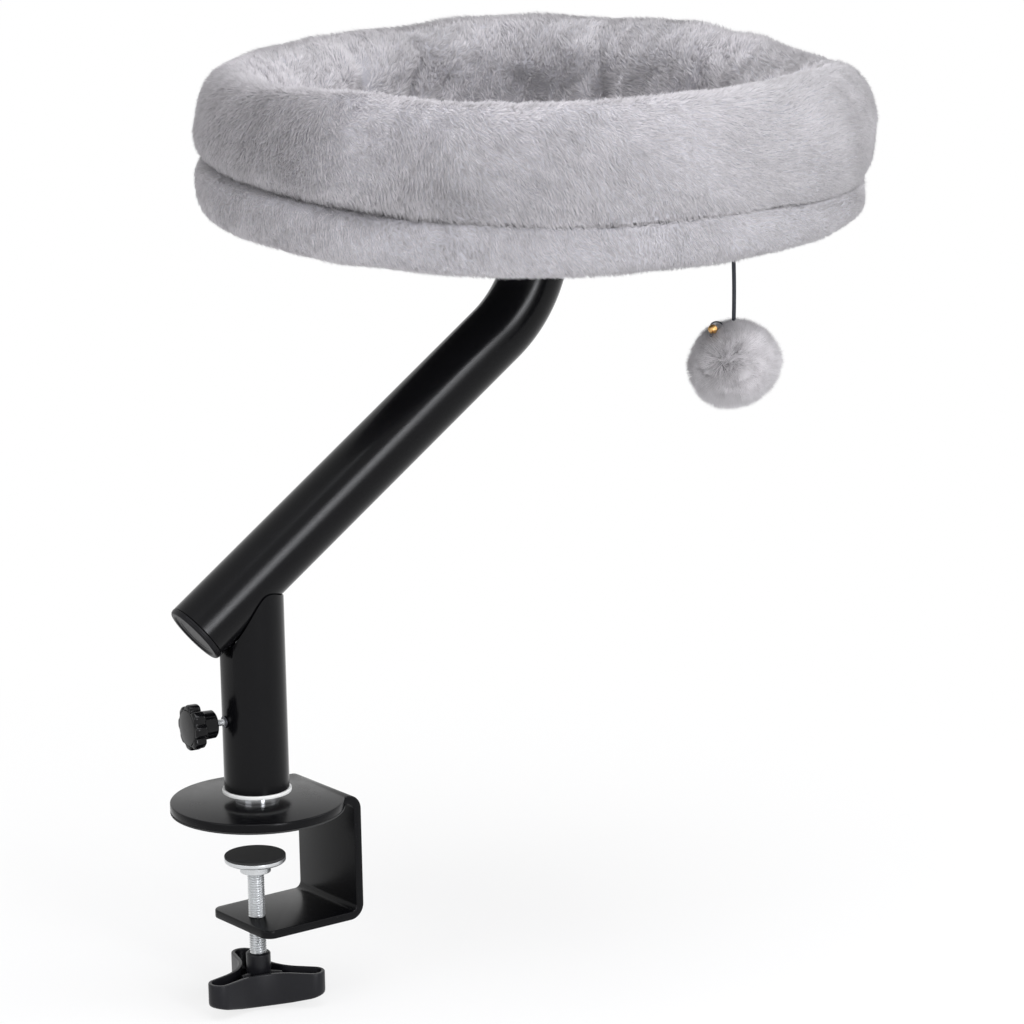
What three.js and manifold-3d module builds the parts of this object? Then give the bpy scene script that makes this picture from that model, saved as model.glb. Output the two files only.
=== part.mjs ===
// A cat bed held beside a desk: a plush ring bed on a bent tube that swings on a screw clamp.
// Millimetres, +Z up. The origin is on the swivel axis, on the underside of the clamp's seat pad.
import * as THREE from "three";
import { mergeVertices } from "three/addons/utils/BufferGeometryUtils.js";
import Module from "manifold-3d";

// Clamp bracket
const discDiameter = 102; // round seat that lies on the desk
const plateThickness = 5; // steel of the whole bracket
const seatPadThickness = 1; // soft pad under the seat
const jawHeight = 65; // from the seat pad down to the lower plate
const bracketWidth = 60; // tab, web and lower plate across
const webReach = 52.5; // swivel axis to the outside of the web
const bendOuterRadius = 9; // outside of the bracket's two bends
const lowerPlateReach = 16; // swivel axis to the lower plate's free edge
const lowerCornerRadius = 7; // its free corners
const clampOffset = 3; // clamp screw's axis from the swivel axis, away from the web
const deskThickness = 27; // desk that the clamp is shown closed on

// Swivel post and its bolt
const postBaseDiameter = 26; // shoulder that carries the arm
const postBaseHeight = 5;
const postDiameter = 22;
const postRoom = 35; // post's end below the crossing of the two tubes' axes
const postChamfer = 1.5;
const boltDiameter = 8;
const boltHeadDiameter = 15.5;
const boltHeadHeight = 4.2;
const boltLength = 28;
const boltSocketDiameter = 5.4; // hexagon socket, across corners
const boltSocketDepth = 2.6;

// Tubes
const tubeDiameter = 38;
const tubeWall = 2;
const armCrossHeight = 132; // seat to the crossing of the two tubes' axes
const armAngle = 37.5; // arm above level, degrees
const armReach = 193; // swivel axis to the bed's axis
const armTail = 43; // arm past the crossing, to its plugged end
const armBendRadius = 76;
const armNeck = 12.5; // straight length above the bend
const armTurn = -8; // arm's bearing from the web's direction, degrees

// Bushes
const bushFlangeDiameter = 40.4;
const bushFlangeThickness = 2.6;
const lowerBushLength = 21;
const upperBushLength = 20;

// Plug in the arm's lower end
const plugFaceThickness = 3.2;
const plugRimWidth = 3.4; // raised rim around its face
const plugRimHeight = 0.9;
const plugDepth = 14;
const plugWall = 2.2;
const plugEdge = 0.8; // rounded-over edge of its face

// Flange that the bed is bolted to
const flangeDiameter = 110;
const flangeThickness = 4;
const collarWall = 4; // collar round the arm tube
const collarHeight = 14;
const flangeCircle = 80; // circle through the four screws
const flangeScrewCount = 4;
const screwDiameter = 6;
const screwHeadDiameter = 12;
const screwHeadHeight = 3.4;
const screwHeadEdge = 1;
const screwLength = 14;
const screwSocketDiameter = 4.6;
const screwSocketDepth = 2;
const teeNutDiameter = 8;
const teeNutFlangeDiameter = 18;
const teeNutFlangeThickness = 1.3;
const teeNutLength = 10;

// Lock screw through the upright
const lockDrop = 1.5; // its axis below the middle of the post
const lockScrewDiameter = 4;
const lockTipDiameter = 3.6;
const lockTipLength = 2.2;
const lockInsertDiameter = 6.4;
const lockInsertFlangeDiameter = 8.6;
const lockInsertFlange = 0.9;
const lockInsertReach = 4.4; // into the tube from its inside wall
const lockKnobDiameter = 27;
const lockKnobLobes = 8;
const lockKnobLobeDepth = 1.5;
const lockKnobThickness = 7.8; // lobed part
const lockKnobEdge = 1.6;
const lockHubDiameter = 17;
const lockHubEndDiameter = 16.4;
const lockHubLength = 9;
const lockHubStandOff = 7.4; // hub to the outside of the tube
const lockFaceRise = 0.8; // low crown on the knob's face
const lockFaceDiameter = 21;
const crownShare = 0.6; // how much of the crown is reached two thirds of the way in

// Clamp screw, its pad and its hand knob
const clampScrewDiameter = 10;
const clampScrewChamfer = 1;
const clampPadDiameter = 36;
const clampFacingThickness = 1.6;
const clampFacingEdge = 0.5;
const clampPadThickness = 4;
const clampPadNeckDiameter = 18;
const clampPadNeckHeight = 5;
const clampPadEdge = 1;
const knobLobes = 3;
const knobTurn = -47; // bearing of its first lobe, degrees
const knobLobeRadius = 7.2; // rounded end of a lobe
const knobLobeReach = 32.4; // axis to the centre of that end
const knobHollowRadius = 32; // curve of the side between two lobes
const knobRimDrop = 97.2; // seat pad to the knob's open rim
const knobDepth = 20.5; // rim to the middle of its domed base
const knobTipDepth = 13; // rim to the base at a lobe's tip
const knobWall = 2.2;
const knobFloor = 2.6;
const knobBossDiameter = 14.4;
const knobBossRise = 10.4; // boss above the rim
const knobRibThickness = 1.8;
const knobRibReach = 14; // axis to the end of a rib
const knobRibDrop = 1; // rib's top below the rim

// Bed
const boardDiameter = 328;
const boardThickness = 12;
const boardEdge = 1.5;
const coverInset = 1; // board's edge to the cover's
const coverThickness = 1.5;
const ringOutset = 11.2; // board's edge to the middle of the base ring's section
const ringHalfWidth = 22.2;
const ringDrop = 3.5; // ring below the board
const creaseHeight = 26.5; // board's underside to the crease, at the mean
const creaseTilt = 9; // crease higher by this on one side and lower on the other
const creaseBearing = 152; // side where the crease is highest, degrees from the arm
const ringDraw = 8; // ring drawn in by this on the side where the crease is lowest
const ringPower = 2.6; // 2 gives an oval section, more a squarer one
const ringLift = 3; // ring's underside higher by this on one side
const ringLiftBearing = 195; // that side, degrees from the arm
const bolsterOutset = 10; // board's edge to the middle of the bolster's section
const bolsterHalfWidth = 21.5;
const bolsterMiddle = 55; // board's underside to its widest level
const bolsterTop = 86; // board's underside to its top, at the mean
const bolsterRise = 10; // most that its top rises or falls
// Its top's rise round the bed, as shares of that, at even bearings from the arm.
const bolsterRiseShares = [-0.9, -0.36, 0, -0.28, -0.18, -0.05, 0.1, 0.15, 0.2, 0.5, 0.4, -0.35];
const bolsterPower = 2.35;
const bolsterLump = 1.5; // unevenness of the stuffing
const bolsterLumps = 5; // waves of it round the ring
const bolsterSmallLumps = 11;
const smallLumpShare = 0.6;
const bolsterGather = 3.4; // depth of the gathers in the inner wall
const bolsterGathers = 7;
const gatherDrift = 1.3; // how unevenly they are spaced, and the waves of that
const gatherDriftWaves = 3;
const gatherSharpness = 6;
const seatRoom = 5.5; // seat cushion to the bolster
const seatEdge = 12; // thickness at the edge
const seatCrown = 25; // thickness at the middle
const seatDent = 4; // settled middle
const seatCrownPower = 2.4; // more makes a flatter crown
// The seat's side, as shares of its radius and of its edge thickness, then its crown's radii.
const seatSideShares = [[0.96, 0], [1, 0.3], [1.01, 0.65]];
const seatCrownShares = [1, 0.97, 0.88, 0.75, 0.6, 0.44, 0.28, 0.13];

// Toy
const toyInset = 9; // cover's edge to the cord
const toyBearing = -73; // from the arm, degrees
const toyTurn = 45; // toy's own right-hand side, from that bearing
const anchorDiameter = 9;
const anchorHeight = 2.4;
const cordDiameter = 2.3;
const cordLength = 44;
const cordSway = 0.7; // slight bow of the hanging cord
// The cord's route from the top: share of the sway, share of the length.
const cordRouteShares = [[0, 0], [0.5, 0.25], [1, 0.5], [0.5, 0.75], [0, 1]];
const pompomWidth = 50;
const pompomHeight = 47;
const pompomLump = 0.7;
const pompomLumps = 4.5; // about this many waves of it across the ball
const bellDiameter = 5.4;
const bellWall = 0.4;
const bellSlot = 0.8;
const bellSlotLength = 4.3;
const bellBeadDiameter = 1.8;
const bellLoopDiameter = 4.4;
const bellLoopCord = 0.9;
// The bell lies against the pompom on this bearing from its middle: right, back, up.
const bellPlaceShares = [-0.49, -0.45, 0.74];

// Fits
const slidingFit = 0.15; // a running fit, on the radius
const looseFit = 0.3; // a screw in its hole or a press fit drawn apart, on the radius
const contactGap = 0.3; // pieces that touch across a sloping or turned face
const softGap = 0.6; // plush pieces that touch
const overrun = 2; // how far a cutter passes a face

// Faceting
const tubeSides = 32;
const discSides = 64;
const smallSides = 16;
const hexSides = 6;
const cordSides = 8;
const bendSteps = 9;
const softAround = 84;
const seatSides = 56;
const pompomSides = 26;
const bellSides = 16;
const loopSides = 6;
const bolsterAcross = 12; // corners of the bolster's section
const ringAcross = 10; // corners of the base ring's section
const lobeSteps = 6; // steps of each arc in a knob's outline
const weld = 1e-4; // vertices closer than this are one

const radians = THREE.MathUtils.degToRad;
const wasm = await Module();
wasm.setup();

// Heights and radii that follow from the sizes above
const seatTop = seatPadThickness + plateThickness;
const tubeRadius = tubeDiameter / 2;
const tubeBore = tubeRadius - tubeWall;
const shoulderTop = seatTop + postBaseHeight;
const postTop = seatTop + armCrossHeight - postRoom;
const lockAxis = (shoulderTop + postTop) / 2 - lockDrop;
const uprightFoot = shoulderTop + bushFlangeThickness;
const crossing = new THREE.Vector3(0, 0, seatTop + armCrossHeight);
const slope = radians(armAngle);
const alongArm = new THREE.Vector3(Math.cos(slope), 0, Math.sin(slope));
const armRun = (armReach - armBendRadius * (1 - Math.sin(slope))) / Math.cos(slope);
const bendStart = crossing.clone().addScaledVector(alongArm, armRun);
const bendTop = bendStart.z + armBendRadius * Math.cos(slope);
const boardBase = bendTop + armNeck;
const boardTop = boardBase + boardThickness;
const armFoot = crossing.clone().addScaledVector(alongArm, -armTail);
const coverBase = boardBase - coverThickness;
const boardRadius = boardDiameter / 2;
const coverRadius = boardRadius - coverInset;
const bolsterRadius = boardRadius + bolsterOutset;
const seatRadius = bolsterRadius - bolsterHalfWidth - seatRoom;
const toyRadius = coverRadius - toyInset; // bed's axis to the cord
const lowerPlateTop = -jawHeight;
const lowerPlateBase = lowerPlateTop - plateThickness;
const knobRim = -knobRimDrop;
const knobBossTop = knobRim + knobBossRise;
const knobBase = knobRim - knobDepth;
const knobSpan = knobLobeReach + knobLobeRadius;
const cordTop = coverBase - anchorHeight - contactGap;
const pompomTop = cordTop - cordLength - contactGap;
const pompomMiddle = pompomTop - pompomHeight / 2;

// Signed volume of an indexed surface, negative when its faces point inwards.
function signedVolume(points, corners) {
  const [a, b, c] = [0, 1, 2].map(() => new THREE.Vector3());
  let sum = 0;
  for (let i = 0; i < corners.length; i += 3) {
    a.fromArray(points, 3 * corners[i]);
    b.fromArray(points, 3 * corners[i + 1]);
    c.fromArray(points, 3 * corners[i + 2]);
    sum += a.dot(b.cross(c));
  }
  return sum;
}

// A geometry as a solid: vertices welded, collapsed faces dropped, faces turned outwards.
function solid(geometry) {
  const bare = geometry.index ? geometry.toNonIndexed() : geometry.clone();
  bare.deleteAttribute("normal");
  bare.deleteAttribute("uv");
  const merged = mergeVertices(bare, weld);
  const points = merged.attributes.position.array;
  const source = merged.index.array;
  const corners = [];
  for (let i = 0; i < source.length; i += 3) {
    const [a, b, c] = [source[i], source[i + 1], source[i + 2]];
    if (a !== b && b !== c && c !== a) corners.push(a, b, c);
  }
  if (signedVolume(points, corners) < 0) corners.reverse();
  const triVerts = new Uint32Array(corners);
  return new wasm.Manifold(new wasm.Mesh({ numProp: 3, vertProperties: points, triVerts }));
}

// The first shape with the others added, or taken away.
const joined = (first, ...others) => others.reduce((sum, other) => sum.add(other), first);
const cut = (first, ...others) => others.reduce((left, other) => left.subtract(other), first);

function geometryOf(body) {
  const mesh = body.getMesh();
  const geometry = new THREE.BufferGeometry();
  geometry.setAttribute("position", new THREE.BufferAttribute(mesh.vertProperties, 3));
  geometry.setIndex(new THREE.BufferAttribute(mesh.triVerts, 1));
  geometry.computeVertexNormals();
  return geometry;
}

// A round piece about Z from its half profile of [radius, height] points.
function turned(profile, sides = smallSides) {
  const points = profile.map(([radius, height]) => new THREE.Vector2(radius, height));
  return new THREE.LatheGeometry(points, sides).rotateX(Math.PI / 2);
}

// A solid disc, its two edges broken by the amounts given.
function disc(radius, base, top, sides = smallSides, baseEdge = 0, topEdge = 0) {
  const profile = [[0, base]];
  if (baseEdge) profile.push([radius - baseEdge, base]);
  profile.push([radius, base + baseEdge], [radius, top - topEdge]);
  if (topEdge) profile.push([radius - topEdge, top]);
  return turned([...profile, [0, top]], sides);
}

// A plain ring of rectangular section.
function sleeve(inner, outer, base, top, sides = tubeSides) {
  return turned([[inner, base], [outer, base], [outer, top], [inner, top], [inner, base]], sides);
}

// A flat outline raised from one height to another.
function prism(shape, base, top, curveSegments = smallSides) {
  const depth = top - base;
  const geometry = new THREE.ExtrudeGeometry(shape, { depth, bevelEnabled: false, curveSegments });
  return geometry.translate(0, 0, base);
}

// A closed outline whose radius is given by a function of the bearing.
function polarShape(radiusAt, steps, inset = 0) {
  const outline = Array.from({ length: steps }, (_, i) => {
    const bearing = (2 * Math.PI * i) / steps;
    return new THREE.Vector2(Math.cos(bearing), Math.sin(bearing)).multiplyScalar(radiusAt(bearing));
  });
  if (!inset) return new THREE.Shape(outline);
  return new THREE.Shape(outline.map((point, i) => {
    const along = outline[(i + 1) % steps].clone().sub(outline[(i + steps - 1) % steps]).normalize();
    return point.clone().add(new THREE.Vector2(-along.y, along.x).multiplyScalar(inset));
  }));
}

// A curve through listed stations, walked one station at a time whatever their spacing.
class StationCurve extends THREE.Curve {
  constructor(stations) {
    super();
    this.stations = stations;
  }
  getPoint(share, target = new THREE.Vector3()) {
    const place = THREE.MathUtils.clamp(share, 0, 1) * (this.stations.length - 1);
    const before = Math.min(Math.floor(place), this.stations.length - 2);
    return target.lerpVectors(this.stations[before], this.stations[before + 1], place - before);
  }
  getPointAt(share, target) {
    return this.getPoint(share, target);
  }
  getTangentAt(share, target) {
    return this.getTangent(share, target);
  }
}

// A round bar or pipe along stations; a bore of zero leaves it solid.
function swept(stations, radius, bore, sides) {
  const shape = new THREE.Shape().absarc(0, 0, radius, 0, 2 * Math.PI);
  if (bore) shape.holes.push(new THREE.Path().absarc(0, 0, bore, 0, 2 * Math.PI));
  const extrudePath = new StationCurve(stations);
  const steps = stations.length - 1;
  return new THREE.ExtrudeGeometry(shape, { steps, extrudePath, curveSegments: sides / 2 });
}

// A soft ring: its section's half width and its base and top heights may vary with the bearing.
function softRing({ radius, halfWidth, middle, baseAt, top, power, across, shift }) {
  const bulge = (value) => Math.sign(value) * Math.abs(value) ** (2 / power);
  const points = [];
  for (let i = 0; i < softAround; i++)
    for (let j = 0; j < across; j++) {
      const bearing = (2 * Math.PI * i) / softAround;
      const turn = (2 * Math.PI * j) / across;
      const rise = bulge(Math.sin(turn));
      const level = middle(bearing);
      const height = level + rise * (rise > 0 ? top(bearing) - level : level - baseAt(bearing));
      const reach = radius + halfWidth * bulge(Math.cos(turn)) + shift(bearing, turn);
      points.push(reach * Math.cos(bearing), reach * Math.sin(bearing), height);
    }
  const index = [];
  const at = (i, j) => (i % softAround) * across + (j % across);
  for (let i = 0; i < softAround; i++)
    for (let j = 0; j < across; j++) {
      index.push(at(i, j), at(i + 1, j), at(i + 1, j + 1));
      index.push(at(i, j), at(i + 1, j + 1), at(i, j + 1));
    }
  const geometry = new THREE.BufferGeometry();
  geometry.setAttribute("position", new THREE.Float32BufferAttribute(points, 3));
  return geometry.setIndex(index);
}

// A share that varies smoothly round the bed, from those listed at even bearings.
function shareAt(bearing, shares) {
  const place = shares.length * THREE.MathUtils.euclideanModulo(bearing / (2 * Math.PI), 1);
  const before = Math.floor(place);
  const [from, to] = [before, before + 1].map((i) => shares[i % shares.length]);
  return THREE.MathUtils.lerp(from, to, THREE.MathUtils.smoothstep(place - before, 0, 1));
}

// Height of the crease between the base ring and the bolster, which runs a little out of level.
const creaseAt = (bearing) =>
  boardBase + creaseHeight + creaseTilt * Math.cos(bearing - radians(creaseBearing));

// Round blank with one straight side, where the bracket's upper bend begins.
function seatBlank(base, top) {
  const trim = new THREE.BoxGeometry(discDiameter, discDiameter, discDiameter)
    .translate(webReach - bendOuterRadius + discDiameter / 2, 0, 0);
  return cut(solid(disc(discDiameter / 2, base, top, discSides)), solid(trim));
}

// Bracket: a round seat, folded down past the desk's edge and back under it.
function bracketGeometry() {
  const outer = webReach;
  const inner = outer - plateThickness;
  const innerBend = bendOuterRadius - plateThickness;
  const side = new THREE.Shape()
    .moveTo(0, seatPadThickness)
    .lineTo(inner - innerBend, seatPadThickness)
    .absarc(inner - innerBend, seatPadThickness - innerBend, innerBend, Math.PI / 2, 0, true)
    .lineTo(inner, lowerPlateTop + innerBend)
    .absarc(inner - innerBend, lowerPlateTop + innerBend, innerBend, 0, -Math.PI / 2, true)
    .lineTo(-lowerPlateReach, lowerPlateTop)
    .lineTo(-lowerPlateReach, lowerPlateBase)
    .lineTo(outer - bendOuterRadius, lowerPlateBase)
    .absarc(outer - bendOuterRadius, lowerPlateTop + innerBend, bendOuterRadius, -Math.PI / 2, 0)
    .lineTo(outer, seatTop - bendOuterRadius)
    .absarc(outer - bendOuterRadius, seatTop - bendOuterRadius, bendOuterRadius, 0, Math.PI / 2)
    .lineTo(0, seatTop);
  const strip = prism(side, -bracketWidth / 2, bracketWidth / 2, smallSides / 2).rotateX(Math.PI / 2);
  const half = bracketWidth / 2;
  const corner = -lowerPlateReach + lowerCornerRadius;
  const plan = new THREE.Shape()
    .moveTo(outer + overrun, -half - overrun)
    .lineTo(outer + overrun, half + overrun)
    .lineTo(corner, half + overrun)
    .lineTo(corner, half)
    .absarc(corner, half - lowerCornerRadius, lowerCornerRadius, Math.PI / 2, Math.PI)
    .absarc(corner, -half + lowerCornerRadius, lowerCornerRadius, Math.PI, 1.5 * Math.PI)
    .lineTo(corner, -half - overrun);
  const within = solid(prism(plan, lowerPlateBase - overrun, seatTop + overrun));
  const seat = seatBlank(seatPadThickness, seatTop);
  const boltHole = turned([
    [0, seatPadThickness - overrun],
    [boltHeadDiameter / 2 + looseFit, seatPadThickness - overrun],
    [boltHeadDiameter / 2 + looseFit, seatPadThickness],
    [boltDiameter / 2 + looseFit, seatPadThickness + boltHeadHeight],
    [boltDiameter / 2 + looseFit, seatTop + overrun],
    [0, seatTop + overrun],
  ]);
  const screwHole = disc(
    clampScrewDiameter / 2 + slidingFit,
    lowerPlateBase - overrun,
    lowerPlateTop + overrun,
    tubeSides,
  ).translate(-clampOffset, 0, 0);
  const body = joined(solid(strip).intersect(within), seat);
  return geometryOf(cut(body, solid(boltHole), solid(screwHole)));
}

// Post: a shoulder for the lower bush, a long spindle and a tapped hole from below.
function postGeometry() {
  const spindle = turned([
    [0, seatTop],
    [postBaseDiameter / 2, seatTop],
    [postBaseDiameter / 2, shoulderTop],
    [postDiameter / 2, shoulderTop],
    [postDiameter / 2, postTop - postChamfer],
    [postDiameter / 2 - postChamfer, postTop],
    [0, postTop],
  ], tubeSides);
  const holeTop = seatPadThickness + boltLength + overrun;
  const hole = disc(boltDiameter / 2 + slidingFit, seatTop - overrun, holeTop);
  return geometryOf(cut(solid(spindle), solid(hole)));
}

// Countersunk bolt from under the seat, with its hexagon socket.
function postBoltGeometry() {
  const body = turned([
    [0, seatPadThickness],
    [boltHeadDiameter / 2, seatPadThickness],
    [boltDiameter / 2, seatPadThickness + boltHeadHeight],
    [boltDiameter / 2, seatPadThickness + boltLength],
    [0, seatPadThickness + boltLength],
  ]);
  const socketTop = seatPadThickness + boltSocketDepth;
  const socket = disc(boltSocketDiameter / 2, seatPadThickness - overrun, socketTop, hexSides);
  return geometryOf(cut(solid(body), solid(socket)));
}

// Flanged nylon bush between the post's shoulder and the upright's foot.
function lowerBushGeometry() {
  const bore = postDiameter / 2 + slidingFit;
  const barrel = tubeBore - slidingFit;
  const flangeTop = uprightFoot;
  return turned([
    [bore, shoulderTop],
    [bushFlangeDiameter / 2, shoulderTop],
    [bushFlangeDiameter / 2, flangeTop],
    [barrel, flangeTop],
    [barrel, flangeTop + lowerBushLength],
    [bore, flangeTop + lowerBushLength],
    [bore, shoulderTop],
  ], tubeSides);
}

function upperBushGeometry() {
  const top = postTop - postChamfer - overrun;
  return sleeve(postDiameter / 2 + slidingFit, tubeBore - slidingFit, top - upperBushLength, top);
}

// Upright tube: its top is notched to fit under the arm, its wall drilled for the lock insert.
function uprightGeometry() {
  const tube = solid(sleeve(tubeBore, tubeRadius, uprightFoot, crossing.z));
  const reach = tubeDiameter * 2;
  const notch = swept(
    [-reach, reach].map((way) => crossing.clone().addScaledVector(alongArm, way)),
    tubeRadius + contactGap,
    0,
    2 * tubeSides,
  );
  const hole = outOfUpright(disc(lockInsertDiameter / 2 + slidingFit, 0, tubeRadius + overrun));
  return geometryOf(cut(tube, solid(notch), solid(hole)));
}

// Stations down the middle of the arm tube: straight, bend, neck.
function armStations() {
  const stations = [armFoot];
  const centre = new THREE.Vector3(bendStart.x, 0, bendStart.z)
    .add(new THREE.Vector3(-Math.sin(slope), 0, Math.cos(slope)).multiplyScalar(armBendRadius));
  const swing = Math.PI / 2 - slope;
  for (let i = 0; i <= bendSteps; i++) {
    const turn = slope - Math.PI / 2 + (swing * i) / bendSteps;
    const spoke = new THREE.Vector3(Math.cos(turn), 0, Math.sin(turn));
    stations.push(centre.clone().addScaledVector(spoke, armBendRadius));
  }
  return [...stations, new THREE.Vector3(armReach, 0, boardBase - contactGap)];
}

// Stands a piece drawn along Z on the arm tube's lower end, pointing out of it.
function outOfArm(geometry) {
  return geometry.rotateY(-Math.PI / 2 - slope).translate(armFoot.x, 0, armFoot.z);
}

// Turns a piece drawn along Z to point out of the upright, away from the bed, at the lock's height.
function outOfUpright(geometry) {
  return geometry.rotateY(-Math.PI / 2).translate(0, 0, lockAxis);
}

// Plastic plug: a hollow shank inside the tube and a face with a raised rim.
function plugGeometry() {
  const shank = tubeBore - slidingFit;
  const face = contactGap + plugFaceThickness;
  return outOfArm(turned([
    [0, contactGap],
    [shank - plugWall, contactGap],
    [shank - plugWall, -plugDepth],
    [shank, -plugDepth],
    [shank, contactGap],
    [tubeRadius, contactGap],
    [tubeRadius, face - plugEdge],
    [tubeRadius - plugEdge, face],
    [tubeRadius - plugRimWidth, face],
    [tubeRadius - plugRimWidth - plugRimHeight, face - plugRimHeight],
    [0, face - plugRimHeight],
  ], tubeSides));
}

// Places around the flange's screw circle, in the bed's frame.
const flangePlaces = Array.from({ length: flangeScrewCount }, (_, i) => {
  const bearing = (2 * Math.PI * (i + 0.5)) / flangeScrewCount;
  return [(flangeCircle / 2) * Math.cos(bearing), (flangeCircle / 2) * Math.sin(bearing)];
});

// Flange with a collar round the arm's neck and four screw holes.
function flangeGeometry() {
  const bore = tubeRadius + looseFit;
  const base = boardBase - flangeThickness;
  const body = turned([
    [bore, base - collarHeight],
    [bore + collarWall, base - collarHeight],
    [bore + collarWall, base],
    [flangeDiameter / 2, base],
    [flangeDiameter / 2, boardBase],
    [bore, boardBase],
    [bore, base - collarHeight],
  ], tubeSides);
  const holes = flangePlaces.map(([x, y]) => {
    const hole = disc(screwDiameter / 2 + looseFit, base - overrun, boardBase + overrun);
    return solid(hole.translate(x, y, 0));
  });
  return geometryOf(cut(solid(body), ...holes));
}

// Pan-headed socket screw, driven up through the flange.
function flangeScrewGeometry([x, y]) {
  const seat = boardBase - flangeThickness;
  const base = seat - screwHeadHeight;
  const body = turned([
    [0, base],
    [screwHeadDiameter / 2 - screwHeadEdge, base],
    [screwHeadDiameter / 2, base + screwHeadEdge],
    [screwHeadDiameter / 2, seat],
    [screwDiameter / 2, seat],
    [screwDiameter / 2, seat + screwLength],
    [0, seat + screwLength],
  ]);
  const socket = disc(screwSocketDiameter / 2, base - overrun, base + screwSocketDepth, hexSides);
  return geometryOf(cut(solid(body), solid(socket))).translate(x, y, 0);
}

// Tee nut let into the top of the board.
function teeNutGeometry([x, y]) {
  const bore = screwDiameter / 2 + slidingFit;
  const under = boardTop - teeNutFlangeThickness;
  return turned([
    [bore, boardTop - teeNutLength],
    [teeNutDiameter / 2, boardTop - teeNutLength],
    [teeNutDiameter / 2, under],
    [teeNutFlangeDiameter / 2, under],
    [teeNutFlangeDiameter / 2, boardTop],
    [bore, boardTop],
    [bore, boardTop - teeNutLength],
  ]).translate(x, y, 0);
}

// Round plywood board with four stepped holes for the tee nuts.
function boardGeometry() {
  const blank = disc(boardRadius, boardBase, boardTop, discSides, boardEdge, boardEdge);
  const holes = flangePlaces.map(([x, y]) => {
    const hole = turned([
      [0, boardBase - overrun],
      [teeNutDiameter / 2 + slidingFit, boardBase - overrun],
      [teeNutDiameter / 2 + slidingFit, boardTop - teeNutFlangeThickness],
      [teeNutFlangeDiameter / 2 + slidingFit, boardTop - teeNutFlangeThickness],
      [teeNutFlangeDiameter / 2 + slidingFit, boardTop + overrun],
      [0, boardTop + overrun],
    ]);
    return solid(hole.translate(x, y, 0));
  });
  return geometryOf(cut(solid(blank), ...holes));
}

function coverGeometry() {
  const inner = flangeDiameter / 2 + looseFit;
  return sleeve(inner, coverRadius, coverBase, boardBase, discSides);
}

// The room that the board needs inside the plush pieces.
function boardRoom() {
  const radius = boardRadius + contactGap;
  return solid(disc(radius, coverBase - contactGap, boardTop + contactGap, softAround));
}

// Padded rim round the board and over its edge, up to the crease.
function baseRingGeometry() {
  const draw = (bearing) => (ringDraw * (Math.cos(bearing - radians(creaseBearing)) - 1)) / 2;
  const baseAt = (bearing) => boardBase - ringDrop
    + (ringLift * (1 + Math.cos(bearing - radians(ringLiftBearing)))) / 2;
  const body = softRing({
    radius: boardRadius + ringOutset,
    halfWidth: ringHalfWidth,
    middle: (bearing) => (baseAt(bearing) + creaseAt(bearing)) / 2,
    baseAt,
    top: creaseAt,
    power: ringPower,
    across: ringAcross,
    shift: (bearing, turn) => (draw(bearing) * (1 + Math.cos(turn))) / 2,
  });
  return geometryOf(cut(solid(body), boardRoom()));
}

// Fat upper roll: uneven stuffing outside, gathers down its inner wall.
function bolsterGeometry() {
  const lump = (bearing, turn) => {
    const large = Math.sin(bolsterLumps * bearing + Math.sin(turn) + 1);
    const small = smallLumpShare * Math.sin(bolsterSmallLumps * bearing + turn);
    return (bolsterLump * (large + small)) / 2;
  };
  const gather = (bearing, turn) => {
    const inward = Math.max(0, -Math.cos(turn)) ** 2;
    const drift = gatherDrift * Math.sin(gatherDriftWaves * bearing);
    const fold = Math.max(0, Math.cos(bolsterGathers * bearing + drift)) ** gatherSharpness;
    return bolsterGather * inward * fold;
  };
  const rise = (bearing) => bolsterRise * shareAt(bearing, bolsterRiseShares);
  const body = softRing({
    radius: bolsterRadius,
    halfWidth: bolsterHalfWidth,
    middle: () => boardBase + bolsterMiddle,
    baseAt: (bearing) => creaseAt(bearing) + softGap,
    top: (bearing) => boardBase + bolsterTop + rise(bearing),
    power: bolsterPower,
    across: bolsterAcross,
    shift: (bearing, turn) => lump(bearing, turn) + gather(bearing, turn),
  });
  return geometryOf(cut(solid(body), boardRoom()));
}

// Loose seat cushion: drawn-in side, full crown, and a middle settled by use.
function seatGeometry() {
  const base = boardTop + contactGap;
  const side = seatSideShares.map(([out, up]) => [seatRadius * out, base + seatEdge * up]);
  const crown = seatCrownShares.map((share) => {
    const swell = Math.sqrt(Math.max(0, 1 - share ** seatCrownPower));
    const full = seatEdge + (seatCrown - seatEdge) * swell;
    return [seatRadius * share, base + full - seatDent * (1 - share ** 2) ** 2];
  });
  return turned([[0, base], ...side, ...crown, [0, crown.at(-1)[1]]], seatSides);
}

// Lock insert: a flanged, tapped sleeve in the upright's wall.
function lockInsertGeometry() {
  const bore = lockScrewDiameter / 2 + slidingFit;
  const start = tubeBore - lockInsertReach;
  const seat = tubeRadius + contactGap;
  return outOfUpright(turned([
    [bore, start],
    [lockInsertDiameter / 2, start],
    [lockInsertDiameter / 2, seat],
    [lockInsertFlangeDiameter / 2, seat],
    [lockInsertFlangeDiameter / 2, seat + lockInsertFlange],
    [bore, seat + lockInsertFlange],
    [bore, start],
  ]));
}

// Radii along the lock screw's axis, from the post outwards.
const lockTipStart = postDiameter / 2 + slidingFit;
const lockScrewStart = lockTipStart + lockTipLength + contactGap;
const lockHubStart = tubeRadius + lockHubStandOff;
const lockKnobStart = lockHubStart + lockHubLength;
const lockKnobEnd = lockKnobStart + lockKnobThickness;
const lockScrewEnd = lockKnobStart + lockKnobThickness / 2;

function lockTipGeometry() {
  return outOfUpright(disc(lockTipDiameter / 2, lockTipStart, lockTipStart + lockTipLength));
}

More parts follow.
